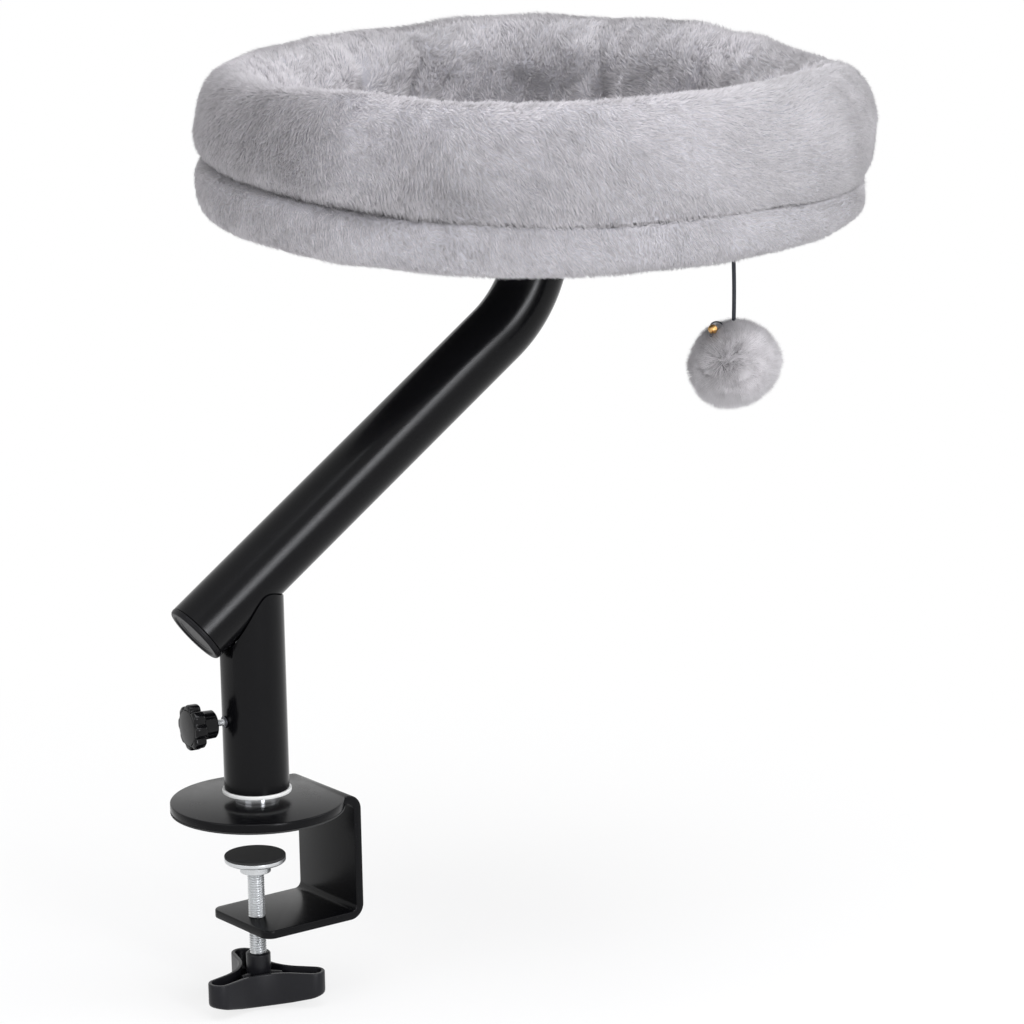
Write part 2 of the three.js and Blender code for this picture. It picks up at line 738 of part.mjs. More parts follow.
function lockScrewGeometry() {
  return outOfUpright(disc(lockScrewDiameter / 2, lockScrewStart, lockScrewEnd));
}

// Lobed hand knob with a tapered hub, drilled for the screw.
function lockKnobGeometry() {
  const radiusAt = (bearing) =>
    lockKnobDiameter / 2 - (lockKnobLobeDepth * (1 - Math.cos(lockKnobLobes * bearing))) / 2;
  const steps = lockKnobLobes * lobeSteps;
  const grip = new THREE.ExtrudeGeometry(polarShape(radiusAt, steps, lockKnobEdge), {
    depth: lockKnobThickness - 2 * lockKnobEdge,
    bevelThickness: lockKnobEdge,
    bevelSize: lockKnobEdge,
    bevelSegments: 2,
  }).translate(0, 0, lockKnobStart + lockKnobEdge);
  const hub = turned([
    [0, lockHubStart],
    [lockHubEndDiameter / 2, lockHubStart],
    [lockHubDiameter / 2, lockKnobStart + lockKnobEdge],
    [0, lockKnobStart + lockKnobEdge],
  ], tubeSides);
  const crown = turned([
    [0, lockKnobStart + lockKnobEdge],
    [lockFaceDiameter / 2, lockKnobStart + lockKnobEdge],
    [lockFaceDiameter / 2, lockKnobEnd],
    [lockFaceDiameter / 3, lockKnobEnd + lockFaceRise * crownShare],
    [0, lockKnobEnd + lockFaceRise],
  ], tubeSides);
  const bore = disc(lockScrewDiameter / 2 + slidingFit, lockHubStart - overrun, lockScrewEnd + contactGap);
  return outOfUpright(geometryOf(cut(joined(solid(grip), solid(hub), solid(crown)), solid(bore))));
}

// Heights of the clamp's moving stack, from the desk down.
const facingTop = -deskThickness;
const padTop = facingTop - clampFacingThickness;
const padUnder = padTop - clampPadThickness;
const padBase = padUnder - clampPadNeckHeight;

function facingGeometry() {
  return disc(clampPadDiameter / 2, padTop, facingTop, tubeSides, 0, clampFacingEdge);
}

// Pressure pad: a steel dish with a neck that holds the end of the screw.
function padGeometry() {
  const body = turned([
    [0, padBase],
    [clampPadNeckDiameter / 2, padBase],
    [clampPadNeckDiameter / 2, padUnder + clampPadEdge],
    [clampPadDiameter / 2 - clampPadEdge, padUnder + clampPadEdge],
    [clampPadDiameter / 2, padUnder + 2 * clampPadEdge],
    [clampPadDiameter / 2, padTop],
    [0, padTop],
  ], tubeSides);
  const bore = disc(clampScrewDiameter / 2 + slidingFit, padBase - overrun, padUnder + overrun, tubeSides);
  return geometryOf(cut(solid(body), solid(bore)));
}

function clampScrewGeometry() {
  const top = padUnder + overrun - slidingFit;
  const base = knobBase + knobFloor + contactGap;
  const chamfer = clampScrewChamfer;
  return disc(clampScrewDiameter / 2, base, top, tubeSides, chamfer, chamfer);
}

// Outline of the three-lobed knob, drawn in by an inset: round ends and hollow sides, all arcs.
function lobedShape(inset) {
  const shape = new THREE.Shape();
  const half = Math.PI / knobLobes;
  const hollowReach = (knobLobeRadius + knobHollowRadius) / Math.sin(half);
  for (let i = 0; i < knobLobes; i++) {
    const lobe = 2 * half * i;
    const [tipX, tipY] = [knobLobeReach * Math.cos(lobe), knobLobeReach * Math.sin(lobe)];
    const [sideX, sideY] = [hollowReach * Math.cos(lobe + half), hollowReach * Math.sin(lobe + half)];
    const quarter = Math.PI / 2;
    shape.absarc(tipX, tipY, knobLobeRadius - inset, lobe - quarter, lobe + quarter, false);
    const [from, to] = [lobe - quarter, lobe + 2 * half + quarter - 2 * Math.PI];
    shape.absarc(sideX, sideY, knobHollowRadius + inset, from, to, true);
  }
  return shape;
}

// A solid with a domed base, flat on top, that bounds the knob.
function knobDome(lift, top) {
  const domeShares = [0, 0.25, 0.5, 0.75, 1];
  const profile = domeShares.map((share) => [
    (knobSpan + overrun) * share,
    knobRim - knobDepth + (knobDepth - knobTipDepth) * share ** 2 + lift,
  ]);
  return solid(turned([...profile, [knobSpan + overrun, top], [0, top]], tubeSides));
}

// Three-lobed hand knob, hollow and open upwards, with a boss and a short rib down each lobe.
function starKnobGeometry() {
  const outer = solid(prism(lobedShape(0), knobBase - overrun, knobRim, lobeSteps))
    .intersect(knobDome(0, knobRim + overrun));
  const inner = solid(prism(lobedShape(knobWall), knobBase - overrun, knobRim + overrun, lobeSteps))
    .intersect(knobDome(knobFloor, knobRim + 2 * overrun));
  const boss = solid(disc(knobBossDiameter / 2, knobBase + knobFloor / 2, knobBossTop, tubeSides));
  const ribTop = knobRim - knobRibDrop;
  const ribBase = knobBase + (knobFloor + (knobDepth - knobTipDepth) / 2) / 2;
  const ribs = Array.from({ length: knobLobes }, (_, i) => {
    const rib = new THREE.BoxGeometry(knobRibReach, knobRibThickness, ribTop - ribBase)
      .translate(knobRibReach / 2, 0, (ribTop + ribBase) / 2)
      .rotateZ((2 * Math.PI * i) / knobLobes);
    return solid(rib);
  });
  const bore = disc(
    clampScrewDiameter / 2 + slidingFit,
    knobBase + knobFloor,
    knobBossTop + overrun,
    tubeSides,
  );
  const body = cut(joined(cut(outer, inner), boss, ...ribs), solid(bore));
  return geometryOf(body).rotateZ(radians(knobTurn));
}

// Toy pieces are drawn round the cord's axis, at their heights under the bed.
function cordGeometry() {
  const radius = cordDiameter / 2;
  const run = cordLength - cordDiameter;
  const route = cordRouteShares.map(([sway, drop]) =>
    new THREE.Vector3(cordSway * sway, 0, cordTop - radius - run * drop));
  const ends = [route[0], route.at(-1)].map((end) => solid(placed(ball(radius, cordSides), end)));
  return geometryOf(joined(solid(swept(route, radius, 0, cordSides)), ...ends));
}

const ball = (radius, sides) => new THREE.SphereGeometry(radius, sides, sides / 2).rotateX(Math.PI / 2);
const placed = (geometry, place) => geometry.translate(place.x, place.y, place.z);

// The pompom's surface in a unit direction: a ball a little uneven round its sides.
function pompomPoint({ x, y, z }) {
  const [a, b, c] = [x, y, z].map((part) => pompomLumps * part);
  const swell = Math.sin(a + 1) + Math.sin(b + 2) + Math.sin(c);
  const grown = 1 + ((1 - z * z) * pompomLump * swell) / pompomWidth;
  const reach = (pompomWidth / 2) * grown;
  return new THREE.Vector3(x * reach, y * reach, pompomMiddle + (z * pompomHeight * grown) / 2);
}

// The hair itself is left out.
function pompomGeometry() {
  const core = ball(1, pompomSides);
  const places = core.attributes.position;
  for (let i = 0; i < places.count; i++) {
    const direction = new THREE.Vector3().fromBufferAttribute(places, i);
    places.setXYZ(i, ...pompomPoint(direction).toArray());
  }
  return core;
}

const bellBearing = new THREE.Vector3(...bellPlaceShares).normalize();
const bellPlace = pompomPoint(bellBearing)
  .addScaledVector(bellBearing, bellDiameter / 2 + contactGap);

// Round bell: a thin shell with a cross slot in its lower half.
function bellGeometry() {
  const radius = bellDiameter / 2;
  const [shell, hollow] = [radius, radius - bellWall].map((size) => solid(ball(size, bellSides)));
  const slots = [0, Math.PI / 2].map((turn) => solid(
    new THREE.BoxGeometry(bellSlotLength, bellSlot, radius).translate(0, 0, -radius / 2)
      .rotateZ(turn),
  ));
  return placed(geometryOf(cut(shell, hollow, ...slots)), bellPlace);
}

function bellBeadGeometry() {
  const drop = bellDiameter / 2 - bellWall - bellBeadDiameter / 2 - contactGap;
  return placed(ball(bellBeadDiameter / 2, bellSides / 2), bellPlace).translate(0, 0, -drop);
}

function bellLoopGeometry() {
  const middle = (bellLoopDiameter - bellLoopCord) / 2;
  const ring = new THREE.TorusGeometry(middle, bellLoopCord / 2, loopSides, bellSides);
  const rise = bellDiameter / 2 + bellLoopDiameter / 2 + contactGap;
  return placed(ring.rotateX(Math.PI / 2), bellPlace).translate(0, 0, rise);
}

function anchorGeometry() {
  const radius = anchorDiameter / 2;
  const base = coverBase - anchorHeight;
  return disc(radius, base, coverBase, smallSides, anchorHeight / 2, 0);
}

// Colour, roughness and metalness of each material
const looks = {
  blackSteel: [0x17171a, 0.45, 0.2],
  blackPlastic: [0x1b1b1d, 0.5, 0],
  greyPlastic: [0x303033, 0.55, 0],
  chrome: [0xc9ccd1, 0.12, 1],
  zinc: [0xb4b6b8, 0.35, 1],
  darkSteel: [0x3a3b3e, 0.4, 1],
  nylon: [0xe9e9e6, 0.5, 0],
  rubber: [0x141414, 0.9, 0],
  plywood: [0xc9a877, 0.7, 0],
  felt: [0x4a4a4e, 0.95, 0],
  greyPlush: [0xb8b5bb, 0.95, 0],
  gold: [0xc99a3b, 0.25, 1],
  blackCord: [0x16171a, 0.85, 0],
};

function piece(name, geometry, look) {
  const [color, roughness, metalness] = looks[look];
  const mesh = new THREE.Mesh(geometry, new THREE.MeshStandardMaterial({ color, roughness, metalness }));
  mesh.name = name;
  return mesh;
}

function grouped(name, pieces) {
  const group = new THREE.Group();
  group.name = name;
  group.add(...pieces);
  return group;
}

const clampScrewGroup = grouped("clamp_drive", [
  piece("clamp_facing", facingGeometry(), "rubber"),
  piece("clamp_pad", padGeometry(), "zinc"),
  piece("clamp_screw", clampScrewGeometry(), "zinc"),
  piece("star_knob", starKnobGeometry(), "blackPlastic"),
]);
clampScrewGroup.position.x = -clampOffset;

const clampGroup = grouped("clamp", [
  piece("bracket", bracketGeometry(), "blackSteel"),
  piece("desk_pad", geometryOf(seatBlank(0, seatPadThickness)), "rubber"),
  piece("swivel_post", postGeometry(), "chrome"),
  piece("post_bolt", postBoltGeometry(), "darkSteel"),
  clampScrewGroup,
]);

const toyGroup = grouped("toy", [
  piece("toy_anchor", anchorGeometry(), "blackPlastic"),
  piece("toy_cord", cordGeometry(), "blackCord"),
  piece("pompom", pompomGeometry(), "greyPlush"),
  piece("bell", bellGeometry(), "gold"),
  piece("bell_bead", bellBeadGeometry(), "darkSteel"),
  piece("bell_loop", bellLoopGeometry(), "blackCord"),
]);
toyGroup.position.set(toyRadius, 0, 0).applyAxisAngle(new THREE.Vector3(0, 0, 1), radians(toyBearing));
toyGroup.rotation.z = radians(toyBearing + toyTurn);

const bedGroup = grouped("bed", [
  piece("top_flange", flangeGeometry(), "blackSteel"),
  ...flangePlaces.map((place, i) =>
    piece(`flange_screw_${i + 1}`, flangeScrewGeometry(place), "darkSteel")),
  ...flangePlaces.map((place, i) => piece(`tee_nut_${i + 1}`, teeNutGeometry(place), "zinc")),
  piece("bed_board", boardGeometry(), "plywood"),
  piece("under_cover", coverGeometry(), "felt"),
  piece("base_ring", baseRingGeometry(), "greyPlush"),
  piece("bolster", bolsterGeometry(), "greyPlush"),
  piece("seat_cushion", seatGeometry(), "greyPlush"),
  toyGroup,
]);
bedGroup.position.x = armReach;

const armGroup = grouped("arm", [
  piece("lower_bush", lowerBushGeometry(), "nylon"),
  piece("upper_bush", upperBushGeometry(), "nylon"),
  piece("upright_tube", uprightGeometry(), "blackSteel"),
  piece("arm_tube", swept(armStations(), tubeRadius, tubeBore, tubeSides), "blackSteel"),
  piece("arm_plug", plugGeometry(), "greyPlastic"),
  piece("lock_insert", lockInsertGeometry(), "darkSteel"),
  piece("lock_tip", lockTipGeometry(), "nylon"),
  piece("lock_screw", lockScrewGeometry(), "zinc"),
  piece("lock_knob", lockKnobGeometry(), "blackPlastic"),
  bedGroup,
]);
armGroup.rotation.z = radians(armTurn);

export default grouped("cat_desk_bed", [clampGroup, armGroup]);
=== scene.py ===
"""Looks of a raised cat bed: plush ring bed, bent tube arm, screw clamp and a toy."""
import logging
from dataclasses import dataclass, replace
from enum import Enum
from math import cos, pi, radians, sin, sqrt, tan
from typing import Callable, Sequence

import bmesh
import bpy
import numpy as np
from mathutils import Matrix


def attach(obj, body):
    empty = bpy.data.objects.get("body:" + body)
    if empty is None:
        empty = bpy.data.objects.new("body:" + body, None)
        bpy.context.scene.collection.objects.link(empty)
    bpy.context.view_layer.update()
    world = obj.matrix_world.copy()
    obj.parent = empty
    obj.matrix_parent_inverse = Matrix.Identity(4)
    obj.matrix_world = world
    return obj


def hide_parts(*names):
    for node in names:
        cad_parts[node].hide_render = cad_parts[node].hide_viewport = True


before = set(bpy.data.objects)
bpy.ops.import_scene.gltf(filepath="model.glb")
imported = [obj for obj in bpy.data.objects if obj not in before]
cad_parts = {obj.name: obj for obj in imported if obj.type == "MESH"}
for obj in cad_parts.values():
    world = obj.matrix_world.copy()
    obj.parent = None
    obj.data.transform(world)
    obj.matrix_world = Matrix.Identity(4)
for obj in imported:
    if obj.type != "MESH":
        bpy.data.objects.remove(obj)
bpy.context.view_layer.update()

MM = 0.001
TAU = 2 * pi
log = logging.getLogger("cat_desk_bed")
Array = np.ndarray
Piece = bpy.types.Object
Triple = tuple[float, float, float]


class Body(Enum):
    """The bodies of the part that pieces ride on."""

    CLAMP = "clamp"
    PAD = "pressure_pad"
    DRIVE = "clamp_drive"
    ARM = "arm"
    LOCK = "lock_drive"
    CORD = "cord"
    TOY = "toy"


# Shapes


@dataclass(frozen=True)
class Place:
    """A turn and then a shift, in millimetres."""

    turn: tuple[Triple, ...] = ((1, 0, 0), (0, 1, 0), (0, 0, 1))
    shift: Triple = (0, 0, 0)

    def apply(self, points: Array) -> Array:
        """Points after the turn and the shift."""
        return points @ np.asarray(self.turn, float).T + np.asarray(self.shift, float)

    def local(self, points: Array) -> Array:
        """Points taken back into the frame of this place."""
        return (points - np.asarray(self.shift)) @ np.asarray(self.turn)

    def after(self, first: "Place") -> "Place":
        """This place applied after another one, as one place."""
        turn = np.asarray(self.turn) @ np.asarray(first.turn)
        return Place(tuple(map(tuple, turn)), tuple(self.apply(np.asarray([first.shift], float))[0]))


def turn_z(degrees: float) -> Place:
    """A turn about +Z."""
    c, s = cos(radians(degrees)), sin(radians(degrees))
    return Place(((c, -s, 0), (s, c, 0), (0, 0, 1)))


def bearings(count: int) -> Array:
    """Even bearings round a full turn, in radians."""
    return np.arange(count) * TAU / count


def unit(vectors: Array) -> Array:
    """Vectors divided by their lengths."""
    return vectors / np.maximum(np.linalg.norm(vectors, axis=-1, keepdims=True), 1e-9)


def polar(points: Array) -> tuple[Array, Array]:
    """Radius and bearing of points about Z."""
    return np.hypot(points[:, 0], points[:, 1]), np.arctan2(points[:, 1], points[:, 0])


def aside(bearing: Array, degrees: float) -> Array:
    """Turn of bearings from one that is given in degrees, within half a turn each way."""
    turn = bearing - radians(degrees)
    return np.arctan2(np.sin(turn), np.cos(turn))


def near(distance: Array) -> Array:
    """A bell curve: e to the power of minus the square of the distance."""
    return np.exp(-(distance**2))


def smooth(share: Array) -> Array:
    """A share eased at both ends: three times its square less twice its cube."""
    return 3 * share**2 - 2 * share**3


def circled(side: Array, up: Array, sides: int) -> Array:
    """Unit circles: side vectors times the cosines of even bearings, plus up vectors times the sines."""
    bearing = bearings(sides)[:, None]
    return side[:, None] * np.cos(bearing) + up[:, None] * np.sin(bearing)


@dataclass
class Surface:
    """Points in millimetres and the faces on them."""

    points: Array
    faces: list

    @classmethod
    def grid(cls, rows: Array, close_u: bool = False, close_v: bool = True) -> "Surface":
        """A surface through a grid of points.

        Args:
            rows: points as rows[u, v].
            close_u: whether the last row joins the first.
            close_v: whether each row is a closed loop.

        Returns:
            The surface, one four-sided face to each cell of the grid.
        """
        nu, nv = rows.shape[:2]
        u, v = np.meshgrid(
            np.arange(nu if close_u else nu - 1), np.arange(nv if close_v else nv - 1), indexing="ij"
        )
        u2, v2 = (u + 1) % nu, (v + 1) % nv
        quads = np.stack([u * nv + v, u2 * nv + v, u2 * nv + v2, u * nv + v2], -1).reshape(-1, 4)
        return cls(rows.reshape(-1, 3).astype(float), quads.tolist())

    def __add__(self, other: "Surface") -> "Surface":
        """Both surfaces as one."""
        moved = [[i + len(self.points) for i in face] for face in other.faces]
        return Surface(np.concatenate([self.points, other.points]), self.faces + moved)

    def placed(self, place: Place) -> "Surface":
        """The surface at a place."""
        return Surface(place.apply(self.points), self.faces)

    def capped(self, count: int) -> "Surface":
        """The surface with its first and last loops, of so many points, closed by a face each."""
        last = len(self.points) - count
        return Surface(self.points, self.faces + [list(range(count))[::-1], list(range(last, last + count))])

    def mesh(self, name: str, corner: float = 32.0) -> bpy.types.Mesh:
        """A mesh, its doubles merged and its faces pointing outwards.

        Args:
            name: the mesh's name.
            corner: edges sharper than this many degrees stay sharp.

        Returns:
            The mesh, in metres.
        """
        mesh = bpy.data.meshes.new(name)
        mesh.from_pydata((self.points * MM).tolist(), [], self.faces)
        work = bmesh.new()
        work.from_mesh(mesh)
        bmesh.ops.remove_doubles(work, verts=work.verts, dist=2e-6)
        bmesh.ops.recalc_face_normals(work, faces=work.faces)
        work.to_mesh(mesh)
        work.free()
        mesh.shade_smooth()
        mesh.set_sharp_from_angle(angle=radians(corner))
        return mesh


def eased(path: Sequence, soft: float, steps: int = 4) -> Array:
    """Rounds the inner corners of a polyline.

    Each corner becomes a quadratic curve between two points at the distance soft from it, or at 0.45
    of the shorter line where that is less.

    Args:
        path: the corners.
        soft: the distance from a corner at which its curve starts.
        steps: lines in each curve.

    Returns:
        The points of the eased polyline.
    """
    points = np.asarray(path, float)
    here = points[1:-1]
    back, on = points[:-2] - here, points[2:] - here
    shorter = np.minimum(*(np.linalg.norm(line, axis=1, keepdims=True) for line in (back, on)))
    reach = np.minimum(soft, 0.45 * shorter)
    start, end = here + unit(back) * reach, here + unit(on) * reach
    t = np.linspace(0, 1, steps + 1)[None, :, None]
    curve = (1 - t) ** 2 * start[:, None] + 2 * t * (1 - t) * here[:, None] + t**2 * end[:, None]
    return np.concatenate([points[:1], curve.reshape(-1, points.shape[1]), points[-1:]])


def turned(profile: Sequence, sides: int = 96, soft: float = 0.4, steps: int = 4) -> Surface:
    """A round piece about Z: each point of the eased profile, a radius and a height, goes full circle."""
    outline = eased(profile, soft, steps)
    return ringed(outline[:, :1] * np.ones(sides), outline[:, 1:] * np.ones(sides))


def ringed(radii: Array, heights: Array) -> Surface:
    """A piece about Z: radius and height of each row, at an even bearing for each column."""
    bearing = bearings(radii.shape[1])
    return Surface.grid(np.stack([radii * np.cos(bearing), radii * np.sin(bearing), heights], -1))


def stepped(rows: Sequence, sides: int) -> Surface:
    """A piece about Z from rows of radius and height, each one number or one for every bearing."""
    radii, heights = (np.stack([np.ones(sides) * row[part] for row in rows]) for part in (0, 1))
    return ringed(radii, heights)


def carried(bearing: Array, reach: Array, height: Array) -> Surface:
    """A closed section carried round Z, from its reach and height at each bearing."""
    rows = np.broadcast_arrays(reach * np.cos(bearing), reach * np.sin(bearing), height)
    return Surface.grid(np.stack(rows, -1), close_u=True)


def swept(path: Array, ahead: Array, radii: Array, sides: int, across: Sequence[float]) -> Surface:
    """A round bar along a path.

    At each point a circle stands square to the way ahead. Its side vector is the given direction
    without its share along the way, and its up vector is square to both.

    Args:
        path: points of the middle line.
        ahead: unit vector along the bar at each point.
        radii: radius at each point.
        sides: steps of each circle.
        across: a direction that is never along the path.

    Returns:
        The surface, open at both ends unless the radius goes to zero there.
    """
    across = np.asarray(across, float)
    side = unit(across - (ahead @ across)[:, None] * ahead)
    circle = circled(side, np.cross(ahead, side), sides)
    return Surface.grid(path[:, None] + circle * np.asarray(radii, float)[:, None, None])


def inset(outline: Array, amount: float) -> Array:
    """A closed outline of (x, y), counter-clockwise, with each point moved square to it, inwards."""
    along = unit(np.roll(outline, -1, axis=0) - np.roll(outline, 1, axis=0))
    return outline + np.stack([-along[:, 1], along[:, 0]], 1) * amount


def arc(centre: Sequence[float], radius: float, start: float, end: float, steps: int) -> Array:
    """Points on an arc about a centre, between two bearings in degrees, joined by steps lines."""
    bearing = np.radians(np.linspace(start, end, steps + 1))
    return np.asarray(centre, float) + radius * np.stack([np.cos(bearing), np.sin(bearing)], 1)


def screw_thread(radius: float, pitch: float, depth: float, base: float, top: float, sides: int) -> Surface:
    """A threaded bar about Z.

    The radius falls from the crest by the depth times a triangle wave of height over pitch less
    bearing over a full turn, so that the crest climbs one pitch each turn, and to nothing at the ends.

    Args:
        radius: crest radius.
        pitch: climb of each turn.
        depth: crest to root.
        base: lower end.
        top: upper end.
        sides: steps round.

    Returns:
        The surface, closed at both ends.
    """
    rows = max(8, int((top - base) / pitch * 8))
    height = np.linspace(base, top, rows)[:, None] * np.ones(sides)
    turn = np.arange(sides)[None] / sides
    wave = np.abs(2 * np.mod(height / pitch - turn, 1) - 1)
    chamfer = np.clip(np.minimum(height - base, top - height) / pitch, 0, 1)
    radii = (radius - depth * np.clip(1.25 * wave - 0.12, 0, 1)) * (0.84 + 0.16 * chamfer)
    return ringed(np.pad(radii, ((1, 1), (0, 0))), np.pad(height, ((1, 1), (0, 0)), "edge"))


# Meshes


def add(name: str, data: bpy.types.ID) -> Piece:
    """Puts a new object in the scene.

    Args:
        name: its name.
        data: its mesh, camera or lamp.

    Returns:
        The object.
    """
    made = bpy.data.objects.new(name, data)
    bpy.context.scene.collection.objects.link(made)
    return made


def read(items: bpy.types.bpy_prop_collection, key: str, kind: type = float) -> Array:
    """Reads a value of three numbers from every item.

    Args:
        items: the mesh's points or triangles.
        key: the value's name.
        kind: the kind of number.

    Returns:
        The values, a row to each item.
    """
    rows = np.empty(len(items) * 3, kind)
    items.foreach_get(key, rows)
    return rows.reshape(-1, 3)


def points_of(mesh: bpy.types.Mesh) -> Array:
    """A mesh's points, in millimetres."""
    return read(mesh.vertices, "co") / MM


def put_points(piece: Piece, points: Array) -> None:
    """Moves a piece's points to places given in millimetres."""
    piece.data.vertices.foreach_set("co", (points * MM).reshape(-1))
    piece.data.update()


def put_tone(mesh: bpy.types.Mesh, tone: Array) -> None:
    """Stores a tone at each point of a mesh."""
    layer = mesh.attributes.new("tone", "FLOAT", "POINT")
    layer.data.foreach_set("value", tone.reshape(-1).astype(np.float32))


# Materials


class Value:
    """A shader value; each operator on it adds one Math node."""

    def __init__(self, graph: "Graph", socket: bpy.types.NodeSocket) -> None:
        """Wraps a socket of a graph."""
        self.graph, self.socket = graph, socket

    def _math(self, operation: str, *operands: object) -> "Value":
        """One Math node on the operands."""
        return self.graph.value("ShaderNodeMath", {"operation": operation}, dict(enumerate(operands)))

    def __add__(self, other: object) -> "Value":
        """The sum."""
        return self._math("ADD", self, other)

    __radd__ = __add__

    def __sub__(self, other: object) -> "Value":
        """The difference."""
        return self._math("SUBTRACT", self, other)

    def __rsub__(self, other: object) -> "Value":
        """The difference, this value taken from the other."""
        return self._math("SUBTRACT", other, self)

    def __mul__(self, other: object) -> "Value":
        """The product."""
        return self._math("MULTIPLY", self, other)

    __rmul__ = __mul__

    def larger(self, other: object) -> "Value":
        """The larger of two values."""
        return self._math("MAXIMUM", self, other)

    def wave(self) -> "Value":
        """The sine of the value."""
        return self._math("SINE", self)

    def held(self, low: float, high: float) -> "Value":
        """The value mapped from low and high to 0 and 1, and held there."""
        inputs = {"Value": self, "From Min": low, "From Max": high}
        return self.graph.value("ShaderNodeMapRange", {"clamp": True}, inputs)


class Graph:
    """The node tree of one material, or of the world."""

    def __init__(self, holder: bpy.types.Material | bpy.types.World) -> None:
        """Empties the tree.

        Args:
            holder: the new material or world.
        """
        self.holder = holder
        holder.use_nodes = True
        self.tree = holder.node_tree
        self.tree.nodes.clear()

    def node(self, kind: str, settings: dict | None = None, inputs: dict | None = None) -> bpy.types.Node:
        """Adds one node.

        Args:
            kind: the node's type.
            settings: its settings, which are set first.
            inputs: values or links of its sockets, by name or number.

        Returns:
            The node.
        """
        made = self.tree.nodes.new(kind)
        for key, setting in (settings or {}).items():
            setattr(made, key, setting)
        for key, given in (inputs or {}).items():
            if isinstance(given, Value):
                self.tree.links.new(given.socket, made.inputs[key])
            else:
                made.inputs[key].default_value = given
        return made

    def value(self, kind: str, settings: dict | None, inputs: dict | None, output: int | str = 0) -> Value:
        """Adds one node and takes one of its outputs."""
        return Value(self, self.node(kind, settings, inputs).outputs[output])

    def points(self) -> Value:
        """Object coordinates, in metres."""
        return self.value("ShaderNodeTexCoord", None, None, "Object")

    def stretched(self, vector: Value, scale: Sequence[float]) -> Value:
        """A vector with each axis scaled."""
        return self.value("ShaderNodeMapping", {"vector_type": "POINT"}, {"Vector": vector, "Scale": scale})

    def noise(self, vector: Value, scale: float, detail: float = 3.0, rough: float = 0.5) -> Value:
        """Noise about 0 to 1 whose features are 1/scale metres apart."""
        inputs = {"Vector": vector, "Scale": scale, "Detail": detail, "Roughness": rough}
        return self.value("ShaderNodeTexNoise", None, inputs, 0)

    def ray(self, kind: str) -> Value:
        """1 for one kind of light ray and 0 for the others."""
        return self.value("ShaderNodeLightPath", None, None, kind)

    def tint(self, factor: Value, first: object, second: object) -> Value:
        """A blend of two colours."""
        ends = {key: end if isinstance(end, Value) else (*end, 1) for key, end in ((6, first), (7, second))}
        return self.value("ShaderNodeMix", {"data_type": "RGBA"}, {0: factor, **ends}, 2)

    def bump(self, height: Value, distance: float, strength: float = 1.0) -> Value:
        """A bumped normal from a height of 0 to 1, the distance in metres."""
        inputs = {"Height": height, "Distance": distance, "Strength": strength}
        return self.value("ShaderNodeBump", None, inputs, 0)

    def finish(self, inputs: dict) -> bpy.types.Material:
        """Ends the tree in one Principled shader with these inputs, and gives the material."""
        self.node("ShaderNodeOutputMaterial", None, {0: self.value("ShaderNodeBsdfPrincipled", None, inputs)})
        return self.holder


def shade(colour: Sequence[float], factor: float) -> tuple[float, ...]:
    """A colour made lighter or darker."""
    return tuple(min(1.0, channel * factor) for channel in colour)


@dataclass(frozen=True)
class Finish:
    """A finish: its slot's name, its plain sockets, and what varies over it."""

    name: str
    slot: str
    colour: Triple
    roughness: float
    metallic: float = 0.0
    specular: float = 0.5
    sheen: float = 0.0

    def varied(self, graph: Graph) -> tuple[Value, Value, Value]:
        """What varies over it: colour, roughness and normal."""
        raise NotImplementedError

    def material(self) -> bpy.types.Material:
        """Makes the finish's material the first time.

        Returns:
            The material.
        """
        made = bpy.data.materials.get(self.name)
        if made:
            return made
        graph = Graph(bpy.data.materials.new(self.name))
        colour, roughness, normal = self.varied(graph)
        return graph.finish({
            "Base Color": colour, "Roughness": roughness, "Normal": normal, "Metallic": self.metallic,
            "Specular IOR Level": self.specular, "Sheen Weight": self.sheen, "Sheen Roughness": 0.5,
        })


@dataclass(frozen=True)
class Grained(Finish):
    """Powder coat, moulded plastic, nylon or rubber: a fine grain with a faint cloudiness."""

    specular: float = 0.2
    grain: float = 1400.0
    depth: float = 0.00003
    strength: float = 0.5
    cloud: float = 0.12
    cloud_scale: float = 35.0
    unevenness: float = 0.12

    def varied(self, graph: Graph) -> tuple[Value, Value, Value]:
        """Grain from fine noise, and cloudiness and wear from coarse noise.

        Args:
            graph: the material's tree.

        Returns:
            Colour, roughness and normal.
        """
        points = graph.points()
        fine = graph.noise(points, self.grain, 2.0, 0.6)
        mid = graph.noise(points, self.grain * 0.22, 3.0, 0.6)
        coarse = graph.noise(points, self.cloud_scale, 4.0, 0.55)
        tone = (coarse * 0.65 + mid * 0.35).held(0.3, 0.7)
        dark, light = shade(self.colour, 1 - self.cloud), shade(self.colour, 1 + self.cloud)
        rough = self.roughness * (1 - self.unevenness) + tone * (2 * self.unevenness * self.roughness)
        bump = graph.bump(fine * 0.7 + mid * 0.3, self.depth, self.strength)
        return graph.tint(tone, dark, light), rough, bump


